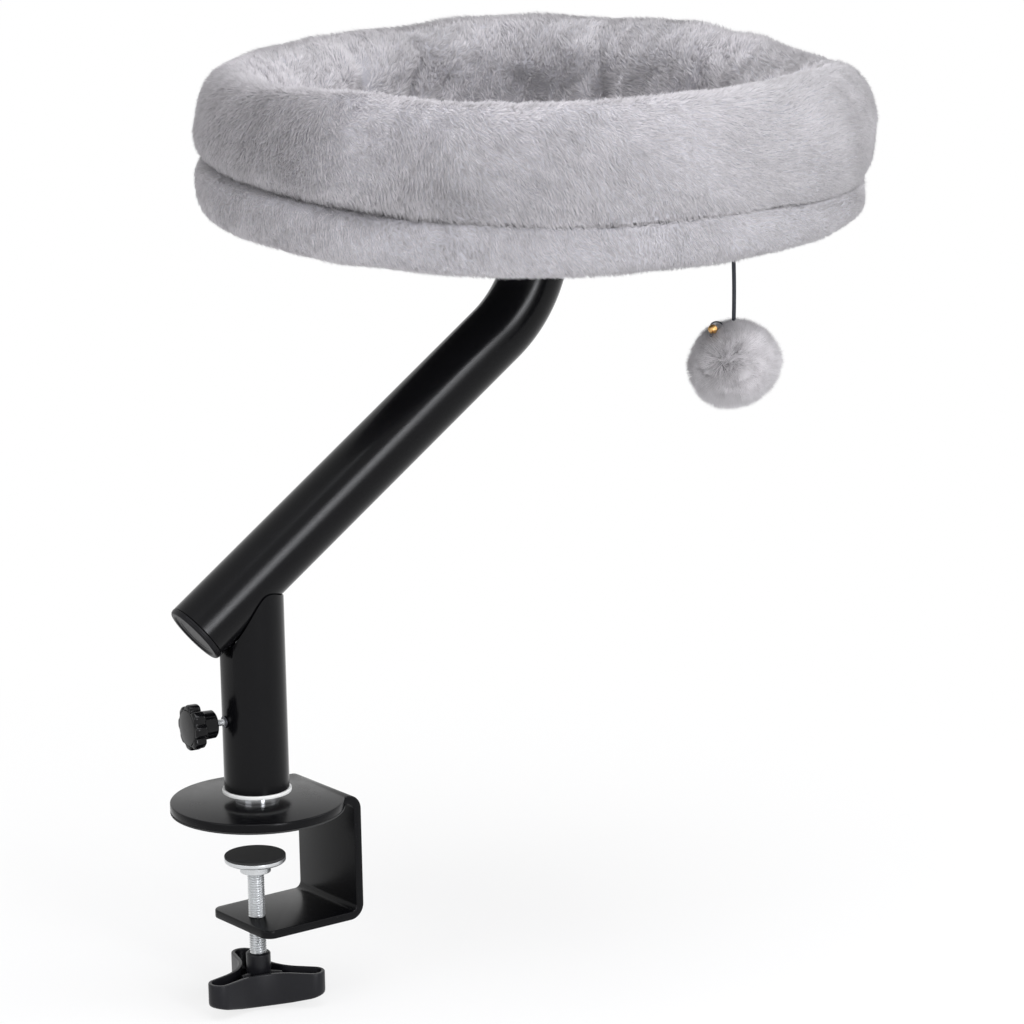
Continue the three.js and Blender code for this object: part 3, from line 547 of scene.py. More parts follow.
@dataclass(frozen=True)
class Plated(Finish):
    """Chrome, zinc, blackened steel or gilt brass: fine drawn lines, a patchy polish, and sides with a
    painted dark reflection.
    """

    metallic: float = 1.0
    streak: Triple = (60.0, 60.0, 1400.0)
    depth: float = 0.00001
    strength: float = 0.2
    tarnish: float = 0.1
    # How far the sides are painted darker: a painted dark reflection at grazing angles.
    edge: float = 1.0

    def varied(self, graph: Graph) -> tuple[Value, Value, Value]:
        """Drawn lines from noise stretched along the surface, patches, and a painted dark reflection: the
        sides that turn away from the eye are painted darker, by the edge.

        Args:
            graph: the material's tree.

        Returns:
            Colour, roughness and normal.
        """
        points = graph.points()
        lines = graph.noise(graph.stretched(points, self.streak), 1.0, 3.0, 0.6)
        patches = graph.noise(points, 90.0, 4.0, 0.6)
        tone = (lines * 0.5 + patches * 0.5).held(0.32, 0.68)
        rough = self.roughness * 0.75 + tone * (0.5 * self.roughness)
        # Painted reflection: sides seen at a grazing angle are painted darker, towards the colour times the
        # edge.
        painted_side_shade = graph.value("ShaderNodeLayerWeight", None, {"Blend": 0.5}, "Facing").held(0.12, 0.62)
        bright = graph.tint(tone, shade(self.colour, 1 - self.tarnish), self.colour)
        colour = graph.tint(painted_side_shade, bright, shade(self.colour, self.edge))
        return colour, rough, graph.bump(lines, self.depth, self.strength)


@dataclass(frozen=True)
class Plywood(Finish):
    """Birch plywood: long grain on the faces and thin plies through the thickness."""

    ply: float = 0.0017

    def varied(self, graph: Graph) -> tuple[Value, Value, Value]:
        """Grain from noise stretched along X; plies from a wave of height.

        Args:
            graph: the material's tree.

        Returns:
            Colour, roughness and normal.
        """
        points = graph.points()
        grain = graph.noise(graph.stretched(points, (14.0, 260.0, 260.0)), 1.0, 5.0, 0.6)
        height = graph.value("ShaderNodeSeparateXYZ", None, {0: points}, 2)
        plies = (height * (TAU / (2 * self.ply))).wave() * 0.5 + 0.5
        tone = (grain * 0.8 + plies * 0.2).held(0.3, 0.75)
        colour = graph.tint(tone, shade(self.colour, 0.72), shade(self.colour, 1.15))
        return colour, self.roughness * 0.9 + tone * 0.1, graph.bump(grain, 0.0001, 0.4)


@dataclass(frozen=True)
class Felt(Finish):
    """Pressed felt: short crossing fibres in a cloudy mat."""

    def varied(self, graph: Graph) -> tuple[Value, Value, Value]:
        """Fibres from two stretched noises, mat from a coarse one.

        Args:
            graph: the material's tree.

        Returns:
            Colour, roughness and normal.
        """
        points = graph.points()
        one = graph.noise(graph.stretched(points, (1500.0, 260.0, 900.0)), 1.0, 3.0, 0.65)
        two = graph.noise(graph.stretched(points, (260.0, 1500.0, 900.0)), 1.0, 3.0, 0.65)
        mat = graph.noise(points, 60.0, 4.0, 0.6)
        tone = (one * 0.35 + two * 0.35 + mat * 0.3).held(0.35, 0.65)
        colour = graph.tint(tone, shade(self.colour, 0.65), shade(self.colour, 1.4))
        return colour, 0.9 + tone * 0.08, graph.bump(one + two, 0.0003, 0.7)


@dataclass(frozen=True)
class Plush(Finish):
    """Faux fur: the pile's own strands, or the backing under them, with painted shade at the roots, which are
    deep times as bright.
    """

    specular: float = 0.12
    sheen: float = 0.2
    # Painted shade: how bright the roots are, as a share of the colour.
    deep: float = 0.55
    patch: float = 0.16

    def varied(self, graph: Graph) -> tuple[Value, Value, Value]:
        """Tone from each strand's stored tone, which carries painted shade at the roots and in the crease and
        painted light and shade in patches, and from soft patches of the nap.

        Args:
            graph: the material's tree.

        Returns:
            Colour, roughness and normal.
        """
        points = graph.points()
        strand = graph.value("ShaderNodeAttribute", {"attribute_name": "tone"}, None, "Fac")
        patches = graph.noise(points, 17.0, 3.0, 0.55).held(0.3, 0.7)
        small = graph.noise(points, 70.0, 2.0, 0.5)
        tone = (strand * (1 - self.patch) + (patches * 0.7 + small * 0.3) * self.patch).held(0.0, 1.0)
        fuzz = graph.noise(points, 900.0, 2.0, 0.6)
        # Painted shade: a low tone blends the colour towards deep times it.
        colour = graph.tint(tone, shade(self.colour, self.deep), self.colour)
        return colour, self.roughness * 0.92 + tone * 0.06, graph.bump(fuzz, 0.0002, 0.25)


@dataclass(frozen=True)
class Braid(Finish):
    """Braided elastic: two sets of strands that cross along the cord."""

    turns: float = 46.0
    strands: float = 4.0

    def varied(self, graph: Graph) -> tuple[Value, Value, Value]:
        """Two diagonal waves of the cord's own map, the larger one on top.

        Args:
            graph: the material's tree.

        Returns:
            Colour, roughness and normal.
        """
        uv = graph.value("ShaderNodeUVMap", {"uv_map": "cord_map"}, None, 0)
        split = graph.node("ShaderNodeSeparateXYZ", None, {0: uv})
        along, across = Value(graph, split.outputs[0]), Value(graph, split.outputs[1])
        one = (along * (self.turns * TAU) + across * (self.strands * TAU)).wave()
        two = (along * (self.turns * TAU) - across * (self.strands * TAU)).wave()
        weave = ((one * two) * 0.5 + 0.5).held(0.0, 1.0)
        colour = graph.tint(weave, shade(self.colour, 0.6), shade(self.colour, 1.8))
        return colour, self.roughness - weave * 0.15, graph.bump(weave, 0.00012, 0.8)


POWDER = Grained(
    "powder_coat", "black_steel", (0.003, 0.003, 0.0036), 0.2, specular=0.15, grain=1300,
    strength=0.35,
)
PLATE_COAT = Grained(
    "plate_coat", "black_steel", (0.003, 0.003, 0.0036), 0.24, specular=0.12, grain=1100, depth=0.00002,
    strength=0.25, cloud_scale=50, unevenness=0.2,
)
KNOB_PLASTIC = Grained(
    "knob_plastic", "black_plastic", (0.007, 0.007, 0.009), 0.36, specular=0.22, grain=1700,
)
LOCK_PLASTIC = Grained(
    "lock_plastic", "black_plastic", (0.003, 0.003, 0.0035), 0.1, grain=2000, depth=0.00001,
)
PLUG_PLASTIC = Grained(
    "plug_plastic", "grey_plastic", (0.007, 0.007, 0.008), 0.4, specular=0.12, grain=1800,
)
NYLON = Grained(
    "nylon", "nylon", (0.35, 0.37, 0.4), 0.42, specular=0.4, grain=900, depth=0.00002, cloud=0.04,
    strength=0.3,
)
RUBBER = Grained(
    "rubber", "rubber", (0.008, 0.008, 0.008), 0.75, grain=1200, depth=0.00006, cloud=0.25,
)
LOOP_CORD = Grained(
    "loop_cord", "black_cord", (0.014, 0.016, 0.022), 0.85, grain=2600, depth=0.00008,
    cloud=0.35,
)
# Chrome and zinc get painted dark reflections on their sides through a low edge.
CHROME = Plated("chrome", "chrome", (0.78, 0.83, 0.94), 0.1, tarnish=0.12, strength=0.1, edge=0.14)
ZINC = Plated("zinc", "zinc", (0.36, 0.4, 0.48), 0.15, streak=(400, 400, 90), tarnish=0.25, edge=0.12)
DARK_STEEL = Plated(
    "dark_steel", "dark_steel", (0.025, 0.025, 0.028), 0.3, streak=(500, 500, 500), tarnish=0.3
)
GILT = Plated("gilt", "gold", (0.7, 0.42, 0.16), 0.4, streak=(900, 900, 900), tarnish=0.25)
PLYWOOD = Plywood("plywood", "plywood", (0.52, 0.36, 0.2), 0.7)
FELT = Felt("felt", "felt", (0.05, 0.05, 0.055), 0.95)
# The backing is painted darker than the pile, as painted shade between the strands.
SHADED_BACKING = Plush(
    "plush_backing", "plush", (0.56, 0.55, 0.585), 0.95, specular=0.1, sheen=0.1, deep=0.45, patch=0.4
)
PILE = Plush("plush_pile", "plush", (0.85, 0.82, 0.84), 0.8, deep=0.34, patch=0.1)
HAIR = Plush("pompom_hair", "plush", (0.86, 0.83, 0.845), 0.8, deep=0.26, patch=0.08)
BRAID = Braid("braid", "black_cord", (0.014, 0.016, 0.022), 0.8)


def dress(piece: Piece, finish: Finish, body: Body, replaced: Sequence[str] = ()) -> Piece:
    """Gives a new piece its finish, its body and the CAD nodes that it stands for.

    Args:
        piece: the new object, already in the scene.
        finish: its finish.
        body: the body that it rides on.
        replaced: CAD nodes that it replaces.

    Returns:
        The piece.
    """
    piece.data.materials.clear()
    piece.data.materials.append(finish.material())
    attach(piece, body.value)
    if replaced:
        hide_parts(*replaced)
    log.info("%s: %d faces on %s", piece.name, len(piece.data.polygons), body.value)
    return piece


def piece_of(
    name: str, surface: Surface, finish: Finish, body: Body, replaced: Sequence[str] = (), corner: float = 32
) -> Piece:
    """Makes a piece of a surface, dresses it, and keeps edges sharp past so many degrees."""
    return dress(add(name, surface.mesh(name, corner)), finish, body, replaced)


def redress(node: str, finish: Finish) -> None:
    """Gives a CAD node that stays showing a finish.

    Args:
        node: the node's name.
        finish: its finish.
    """
    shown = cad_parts[node]
    shown.data.materials.clear()
    shown.data.materials.append(finish.material())
    log.info("%s: CAD solid in %s", node, finish.name)


# Studio


@dataclass
class Studio:
    """Camera at the photograph's viewing angle, plain pale floor, soft light and white surround."""

    lens_pixels: float = 5000.0
    frame_pixels: float = 1024.0
    sensor: float = 36.0
    bearing: float = 36.0
    pitch: float = 13.82
    roll: float = -1.17
    distance: float = 2873.0
    sideways: float = 151.7
    target_height: float = 174.9
    floor_height: float = -119.0
    floor_radius: float = 3600.0
    floor_shares: tuple[float, ...] = (0.0, 0.1, 0.2, 0.4, 1.0)
    aim: Triple = (0.15, -0.05, 0.25)
    light_colour: Triple = (0.95, 0.96, 1.0)
    # Each lamp's name, place and size in metres, and power in watts.
    lamps: tuple[tuple, ...] = (
        ("key", (-0.22, -2.5, 0.75), (0.75, 1.3), 25.0),
        ("strip", (-0.22, -2.45, 0.75), (0.09, 1.3), 9.0),
        ("side", (2.0, -1.3, 1.5), (1.4, 1.4), 20.0),
        ("fill", (-2.4, -0.35, 1.1), (1.5, 1.5), 16.0),
        ("top", (0.0, -0.6, 2.55), (1.8, 1.8), 44.0),
    )

    @staticmethod
    def stand(spot: Sequence[float], x: Array, y: Array, z: Array) -> Matrix:
        """A place in metres whose axes point along three unit vectors."""
        return Matrix.Translation(list(spot)) @ Matrix(np.stack([x, y, z], 1).tolist()).to_4x4()

    def camera(self) -> None:
        """Makes the camera from its bearing, pitch, roll and distance."""
        a, p, r = (radians(angle) for angle in (self.bearing, self.pitch, self.roll))
        right = np.array([cos(a), -sin(a), 0.0])
        ahead = np.array([sin(a), cos(a), 0.0])
        look = cos(p) * ahead - sin(p) * np.array([0, 0, 1.0])
        up = np.cross(right, look)
        side = cos(r) * right + sin(r) * up
        head = -sin(r) * right + cos(r) * up
        eye = (self.sideways * right + np.array([0, 0, self.target_height]) - self.distance * look) * MM
        lens = bpy.data.cameras.new("camera")
        lens.sensor_width = self.sensor
        lens.lens = self.lens_pixels / self.frame_pixels * self.sensor
        lens.clip_start, lens.clip_end = 0.05, 60.0
        camera = add("camera", lens)
        camera.matrix_world = self.stand(eye, side, head, -look)
        bpy.context.scene.camera = camera

    def surround(self) -> None:
        """A world that lights softly and that looks white to the eye, in reflections and through glass."""
        world = bpy.data.worlds.new("surround")
        graph = Graph(world)
        seen = graph.ray("Is Camera Ray").larger(graph.ray("Is Glossy Ray"))
        level = seen.larger(graph.ray("Is Transmission Ray")) * 0.6 + 0.4
        glow = graph.value("ShaderNodeBackground", None, {"Color": (1, 1, 1, 1), "Strength": level})
        graph.node("ShaderNodeOutputWorld", None, {0: glow})
        bpy.context.scene.world = world

    def floor(self) -> None:
        """A pale floor that keeps the object's shadow and turns white away from it."""
        rows = np.array(self.floor_shares)[:, None] * self.floor_radius * np.ones(64)
        floor = add("floor", ringed(rows, np.full(rows.shape, self.floor_height)).mesh("floor"))
        graph = Graph(bpy.data.materials.new("floor"))
        points = graph.points()
        mottle = graph.tint(graph.noise(points, 6.0, 3.0, 0.5), (0.93,) * 3, (0.95,) * 3)
        matt = graph.value("ShaderNodeBsdfDiffuse", None, {0: mottle})
        glow = graph.value("ShaderNodeEmission", None, {0: (1, 1, 1, 1), 1: 1.0})
        away = graph.value("ShaderNodeVectorMath", {"operation": "LENGTH"}, {0: points}, "Value")
        seen = graph.ray("Is Camera Ray").larger(graph.ray("Is Glossy Ray"))
        fade = seen * (away.held(0.25, 0.75) * 0.22 + 0.78)
        blend = graph.value("ShaderNodeMixShader", None, {0: fade, 1: matt, 2: glow})
        graph.node("ShaderNodeOutputMaterial", None, {0: blend})
        floor.data.materials.append(graph.holder)

    def lights(self) -> None:
        """Soft lamps that face the object."""
        for name, spot, size, power in self.lamps:
            light = bpy.data.lights.new(name, "AREA")
            light.shape, light.energy = "RECTANGLE", power
            light.size, light.size_y = size
            light.color = self.light_colour
            z = unit(np.subtract(spot, self.aim))
            x = unit(np.cross([0, 0, 1.0], z))
            add(name, light).matrix_world = self.stand(spot, x, np.cross(z, x), z)

    def build(self) -> None:
        """Makes the camera, the surround, the floor and the lamps."""
        self.camera()
        self.surround()
        self.floor()
        self.lights()
        bpy.context.scene.view_settings.view_transform = "Standard"


# Clamp


@dataclass
class Clamp:
    """Bracket, desk pad and swivel post."""

    disc_diameter: float = 102.0
    pad_thickness: float = 1.0
    plate: float = 5.0
    jaw: float = 65.0
    width: float = 60.0
    web_reach: float = 52.5
    bend: float = 9.0
    lower_reach: float = 16.0
    lower_corner: float = 7.0
    edge: float = 0.7
    post_base: float = 26.0
    post_base_height: float = 5.0
    post: float = 22.0
    post_length: float = 92.0

    def outline(self) -> Array:
        """The bracket's flat pattern: round seat, straight strip, rounded free corners.

        Returns:
            Points as (x, y), counter-clockwise, x measured along the plate's middle line.
        """
        radius, half = self.disc_diameter / 2, self.width / 2
        meet = np.degrees(np.arcsin(half / radius))
        corner, free = self.lower_corner, self.flat_length() - self.lower_corner
        return np.concatenate([
            arc((0, 0), radius, meet, 360 - meet, 150),
            arc((free, -half + corner), corner, -90, 0, 10),
            arc((free, half - corner), corner, 0, 90, 10),
        ])

    def bends(self) -> tuple[float, float, float, float]:
        """Where the two bends start and end.

        Returns:
            Four distances along the middle line.
        """
        start = self.web_reach - self.bend
        run = (self.bend - self.plate / 2) * pi / 2
        web = self.jaw + self.pad_thickness + 2 * self.plate - 2 * self.bend
        return start, start + run, start + run + web, start + 2 * run + web

    def flat_length(self) -> float:
        """Middle line from the swivel axis to the free edge."""
        return self.bends()[3] + self.web_reach - self.bend + self.lower_reach

    def folded(self, flat: Array) -> Array:
        """Folds the flat pattern.

        Along the middle line the plate runs level, then round a quarter circle, down, round another
        quarter circle and level back; a point keeps its distance square to the middle line.

        Args:
            flat: points as (distance along, y, distance above the middle line).

        Returns:
            The folded points.
        """
        s, y, w = flat.T
        a, b, c, d = self.bends()
        radius = self.bend - self.plate / 2
        top = self.pad_thickness + self.plate / 2
        base = top - 2 * radius - (c - b)
        one, two = np.clip((s - a) / radius, 0, pi / 2), np.clip((s - c) / radius, 0, pi / 2)
        turn = one + two
        x = np.minimum(s, a) + radius * np.sin(one) - radius * (1 - np.cos(two)) - np.maximum(s - d, 0)
        z = top - radius * (1 - np.cos(one)) - np.clip(s - b, 0, c - b) - radius * np.sin(two)
        z = np.maximum(z, base)
        return np.stack([x + w * np.sin(turn), y, z + w * np.cos(turn)], 1)

    def bracket(self) -> None:
        """The bracket, cut across at its bends, folded, its edges softly rounded."""
        outline = self.outline()
        soft = self.edge * np.array([1.0, 0.55, 0.2, 0.0])
        rise = self.edge * np.array([0.0, 0.15, 0.5, 1.0]) - self.plate / 2
        rows = [
            np.concatenate([inset(outline, amount), np.full((len(outline), 1), level)], 1)
            for amount, level in zip([*soft, *soft[::-1]], [*rise, *-rise[::-1]])
        ]
        shell = Surface.grid(np.stack(rows)).capped(len(outline))
        mesh = bpy.data.meshes.new("bracket_plate")
        mesh.from_pydata(shell.points.tolist(), [], shell.faces)
        work = bmesh.new()
        work.from_mesh(mesh)
        a, b, c, d = self.bends()
        for s in np.concatenate([np.linspace(a, b, 11), np.linspace(c, d, 11)]):
            everything = [*work.verts, *work.edges, *work.faces]
            bmesh.ops.bisect_plane(work, geom=everything, dist=1e-5, plane_co=(s, 0, 0), plane_no=(1, 0, 0))
        work.to_mesh(mesh)
        work.free()
        bent = self.folded(read(mesh.vertices, "co"))
        surface = Surface(bent, [list(face.vertices) for face in mesh.polygons])
        bpy.data.meshes.remove(mesh)
        piece_of("bracket_plate", surface, PLATE_COAT, Body.CLAMP, ["bracket"], 38.0)

    def swivel_post(self) -> None:
        """Chromed shoulder, stepped twice near its top, and the spindle above it."""
        base = self.pad_thickness + self.plate
        top = base + self.post_base_height
        r, q = self.post_base / 2, self.post / 2
        end = top + self.post_length
        profile = [
            (0, base), (r, base), (r, top - 2.1), (r - 0.35, top - 2.0), (r - 0.35, top - 1.6),
            (r, top - 1.5), (r, top - 0.9), (r - 0.4, top - 0.8), (r - 0.4, top), (q, top), (q, end - 1.5),
            (q - 1.5, end), (0, end),
        ]
        piece_of("post_chromed", turned(profile, 128, 0.12, 3), CHROME, Body.CLAMP, ["swivel_post"])

    def build(self) -> None:
        """Makes the bracket and the post, and dresses the pad and the hidden bolt."""
        self.bracket()
        self.swivel_post()
        redress("desk_pad", RUBBER)
        redress("post_bolt", DARK_STEEL)


@dataclass
class ClampDrive:
    """Clamp screw with its pad, facing and three-lobed hand knob."""

    offset: float = -3.0
    facing_top: float = -27.0
    facing: float = 1.6
    pad: float = 4.0
    pad_diameter: float = 36.0
    neck: float = 5.0
    neck_diameter: float = 18.0
    screw_diameter: float = 10.0
    pitch: float = 1.5
    rim: float = -97.2
    depth: float = 20.5
    tip_depth: float = 13.0
    wall: float = 2.2
    floor: float = 2.6
    boss: float = 14.4
    boss_rise: float = 10.4
    lobe: float = 7.2
    lobe_reach: float = 32.4
    hollow: float = 32.0
    turn: float = -47.0
    rib: float = 1.8
    rib_reach: float = 14.0

    def lobed(self) -> Array:
        """Three-lobed outline: half circles at the tips, straight sides, and hollows between.

        Returns:
            Points as (x, y), counter-clockwise.
        """
        reach = (self.lobe + self.hollow) / sin(pi / 3)
        side = (reach / 2, reach * sin(pi / 3))
        third = np.concatenate([
            arc((self.lobe_reach, 0), self.lobe, -90, 90, 22),
            arc(side, self.hollow, -90, -150, 24)[1:-1],
        ])
        turns = [np.asarray(turn_z(120.0 * i).turn)[:2, :2] for i in range(3)]
        return np.concatenate([third @ turn.T for turn in turns])

    def dome(self, plan: Array, lift: float = 0.0) -> Array:
        """Height of the knob's domed base: its middle, and higher by the square of the radius."""
        share = (plan**2).sum(-1) / (self.lobe_reach + self.lobe + 2.0) ** 2
        return self.rim - self.depth + (self.depth - self.tip_depth) * share + lift

    def knob(self) -> Surface:
        """Open dish with a rolled rim, a domed base, a boss and three ribs.

        Rows of the outline go from the middle of the base out, up the wall, over the rim and down the
        hollow to its middle; each row is the outline moved inwards or drawn towards the axis.

        Returns:
            The knob's surface.
        """
        outline = self.lobed()

        def row(amount: float, lift: float, share: float = 1.0, level: bool = False) -> Array:
            """One row of the knob.

            Args:
                amount: how far the outline is moved inwards.
                lift: how far the row is lifted from the dome, or from the rim.
                share: how far the outline is left from the axis, 0 to 1.
                level: whether the row is level with the rim.

            Returns:
                The row's points.
            """
            plan = inset(outline, amount) * share
            height = np.full(len(plan), self.rim + lift) if level else self.dome(plan, lift)
            return np.concatenate([plan, height[:, None]], 1)

        over = (
            (0.0, -0.7), (0.12, -0.3), (0.4, 0.0), (self.wall - 0.5, 0.0), (self.wall - 0.12, -0.2),
            (self.wall, -0.7),
        )
        rows = [
            *(row(1.4, 0.0, share) for share in np.linspace(0, 1, 9)),
            *(row(amount, lift) for amount, lift in ((0.8, 0.25), (0.3, 0.8), (0.05, 1.7), (0.0, 2.6))),
            *(row(amount, lift, level=True) for amount, lift in over),
            row(self.wall, self.floor + 1.2),
            *(row(self.wall + 0.9, self.floor, share) for share in np.linspace(1, 0, 9)),
        ]
        knob = Surface.grid(np.stack(rows))
        top, low, r = self.rim + self.boss_rise, self.inside(), self.boss / 2
        bore = self.screw_diameter / 2 + 0.2
        boss = [(bore, low), (r, low), (r, top - 0.9), (r - 0.9, top), (bore, top), (bore, low)]
        knob = knob + turned(boss, 64, 0.3)
        for i in range(3):
            knob = knob + self.rib_surface().placed(turn_z(120.0 * i))
        return knob

    def inside(self) -> float:
        """Height within the knob's floor, where its boss and ribs start."""
        return self.rim - self.depth + self.floor * 0.5

    def rib_surface(self) -> Surface:
        """One rib: a thin upright plate from the boss outwards, rounded along its top.

        Returns:
            The rib's surface.
        """
        half, low, high = self.rib / 2, self.inside(), self.rim - 1.0
        y = np.array([-half, half, half, half * 0.6, -half * 0.6, -half])
        z = np.array([low, low, high - 0.5, high, high, high - 0.5])
        stations = ((self.boss / 2 - 1.0, 1.0), (self.rib_reach - 0.4, 1.0), (self.rib_reach, 0.72))
        rows = [np.stack([np.full(6, x), y * k, np.minimum(z, high - (1 - k))], 1) for x, k in stations]
        return Surface.grid(np.stack(rows)).capped(6)

    def build(self) -> None:
        """Makes the facing, the pad, the threaded screw and the knob."""
        at = Place(shift=(self.offset, 0, 0))
        top = self.facing_top - self.facing
        r, n = self.pad_diameter / 2, self.neck_diameter / 2
        facing = turned([
            (0, top), (r, top), (r, self.facing_top - 0.5), (r - 0.5, self.facing_top), (0, self.facing_top),
        ])
        piece_of("pad_facing", facing.placed(at), RUBBER, Body.PAD, ["clamp_facing"])
        under, low = top - self.pad, top - self.pad - self.neck
        bore = self.screw_diameter / 2 + 0.15
        pad = turned([
            (0, top), (r, top), (r, under + 2), (r - 1, under + 1), (n + 1.2, under + 1), (n, under),
            (n, low), (bore, low), (bore, under + 2), (0, under + 2),
        ])
        piece_of("pressure_plate", pad.placed(at), ZINC, Body.PAD, ["clamp_pad"])
        base = self.rim - self.depth + self.floor + 0.3
        radius = self.screw_diameter / 2
        screw = screw_thread(radius, self.pitch, depth=0.85, base=base, top=under + 1.85, sides=48)
        piece_of("screw_threaded", screw.placed(at), ZINC, Body.DRIVE, ["clamp_screw"], 75.0)
        knob = self.knob().placed(at.after(turn_z(self.turn)))
        piece_of("hand_knob", knob, KNOB_PLASTIC, Body.DRIVE, ["star_knob"], 40.0)


# Arm


@dataclass
class Arm:
    """Bushes, coped upright, bent arm tube, plug, flange and its screws."""

    turn: float = -8.0
    tube: float = 38.0
    wall: float = 2.0
    slide: float = 0.15
    shoulder: float = Clamp.pad_thickness + Clamp.plate + Clamp.post_base_height
    bush_flange: float = 40.4
    bush_height: float = 2.1
    crossing: float = 138.0
    slope: float = 37.5
    reach: float = 193.0
    tail: float = 43.0
    bend_radius: float = 76.0
    gap: float = 0.3
    cope_gap: float = 0.75
    board_base: float = 336.073
    flange: float = 110.0
    flange_thickness: float = 4.0
    collar: float = 4.0
    collar_height: float = 14.0
    screw_circle: float = 80.0
    bush_barrel: float = 21.0

    def frame_place(self) -> Place:
        """The arm's own frame."""
        return turn_z(self.turn)

    def bush(self) -> None:
        """White nylon bush: a flange under the upright and a barrel inside it."""
        r, bore, barrel = self.bush_flange / 2, Clamp.post / 2 + self.slide, self.shank()
        low, high = self.shoulder, self.shoulder + self.bush_height
        end = high + self.bush_barrel
        profile = [(bore, low), (r, low), (r, high), (barrel, high), (barrel, end), (bore, end), (bore, low)]
        piece_of("nylon_ring", turned(profile, 128, 0.55), NYLON, Body.ARM, ["lower_bush"])

    def shank(self) -> float:
        """Radius of what plugs into a tube."""
        return self.tube / 2 - self.wall - self.slide

    def upright(self) -> None:
        """Upright tube, its top coped to the arm.

        The top edge at (x, y) is the crossing's height, plus x times the arm's slope, less the arm
        circle's half chord at y over the slope's cosine.
        """
        foot, sides = self.shoulder + self.bush_height, 160
        rise = radians(self.slope)

        def coped(radius: float) -> Array:
            """The coped edge on a circle.

            Args:
                radius: the circle's radius.

            Returns:
                The edge's height at each bearing.
            """
            x, y = radius * np.cos(bearings(sides)), radius * np.sin(bearings(sides))
            chord = np.sqrt((self.tube / 2 + self.cope_gap) ** 2 - y**2)
            return self.crossing + x * tan(rise) - chord / cos(rise)

        outer, inner = self.tube / 2, self.tube / 2 - self.wall
        rows = [
            (inner, foot), (outer - 0.35, foot), (outer, foot + 0.35),
            (outer, foot + 0.5 * (coped(outer) - foot)), (outer, coped(outer) - 0.35),
            (outer - 0.3, coped(outer - 0.3)), (inner, coped(inner)), (inner, foot),
        ]
        surface = stepped(rows, sides).placed(self.frame_place())
        piece_of("upright_coped", surface, POWDER, Body.ARM, ["upright_tube"], 40.0)

    def route(self) -> Array:
        """Middle line of the arm tube in the arm's frame: straight, quarter bend, neck.

        Returns:
            Points along it.
        """
        rise = radians(self.slope)
        along = np.array([cos(rise), 0, sin(rise)])
        origin = np.array([0, 0, self.crossing])
        run = (self.reach - self.bend_radius * (1 - sin(rise))) / cos(rise)
        start, foot = origin + along * run, origin - along * self.tail
        centre = start + self.bend_radius * np.array([-sin(rise), 0, cos(rise)])
        turns = np.linspace(rise - pi / 2, 0, 40)
        bend = centre + self.bend_radius * np.stack([np.cos(turns), 0 * turns, np.sin(turns)], 1)
        straight = foot + (start - foot) * np.linspace(0, 1, 24)[:-1, None]
        end = np.array([self.reach, 0, self.board_base - self.gap])
        neck = bend[-1] + (end - bend[-1]) * np.linspace(0, 1, 5)[1:, None]
        return np.concatenate([straight, bend, neck])

    def tube_piece(self) -> None:
        """The bent tube, with its wall showing at both ends."""
        route = self.route()
        first, last = unit(route[1] - route[0]), unit(route[-1] - route[-2])
        outer, inner = self.tube / 2, self.tube / 2 - self.wall
        steps, rim = (9.0, 0.02, 0.01, 0.3), [inner, inner, outer - 0.3, outer]
        head, tail = [route[0] + first * d for d in steps], [route[-1] - last * d for d in steps[::-1]]
        path = np.concatenate([head, route[1:-1], tail])
        radii = np.concatenate([rim, np.full(len(route) - 2, outer), rim[::-1]])
        ahead = np.concatenate([[first] * 4, unit(np.gradient(route, axis=0))[1:-1], [last] * 4])
        surface = swept(path, ahead, radii, 128, (0, 1, 0)).placed(self.frame_place())
        piece_of("arm_bent", surface, POWDER, Body.ARM, ["arm_tube"], 40.0)

    def plug(self) -> None:
        """Stepped plug in the arm's lower end, with a raised rim round its face."""
        rise = radians(self.slope)
        c, s = cos(rise), sin(rise)
        end = (-self.tail * c, 0, self.crossing - self.tail * s)
        place = self.frame_place().after(Place(((-s, 0, -c), (0, 1, 0), (c, 0, -s)), end))
        r, shank, base = self.tube / 2, self.shank(), self.gap
        face = base + 3.2
        profile = [
            (0, base), (shank - 2.2, base), (shank - 2.2, -14), (shank, -14), (shank, base), (r, base),
            (r, face - 1.9), (r - 0.25, face - 1.8), (r - 0.25, face - 0.9), (r - 1.1, face), (r - 3.4, face),
            (r - 4.3, face - 0.9), (r - 7.5, face - 0.9), (r - 7.9, face - 1.2), (0, face - 1.1),
        ]
        surface = turned(profile, 128, 0.35).placed(place)
        piece_of("end_plug", surface, PLUG_PLASTIC, Body.ARM, ["arm_plug"])

    def flange_piece(self) -> None:
        """Round flange with a collar, welded round the arm's upper end."""
        bore, base = self.tube / 2 + self.gap, self.board_base - self.flange_thickness
        r, c = self.flange / 2, self.tube / 2 + self.gap + self.collar
        low = base - self.collar_height
        profile = [
            (bore, low), (c, low), (c, base - 1.6), (c + 0.5, base - 0.6), (c + 1.6, base), (r, base),
            (r, self.board_base), (bore, self.board_base), (bore, low),
        ]
        surface = turned(profile, 128, 0.7).placed(self.bed_place())
        piece_of("flange_plate", surface, POWDER, Body.ARM, ["top_flange"])

    def bed_place(self) -> Place:
        """The bed's own frame, on its axis."""
        return self.frame_place().after(Place(shift=(self.reach, 0, 0)))

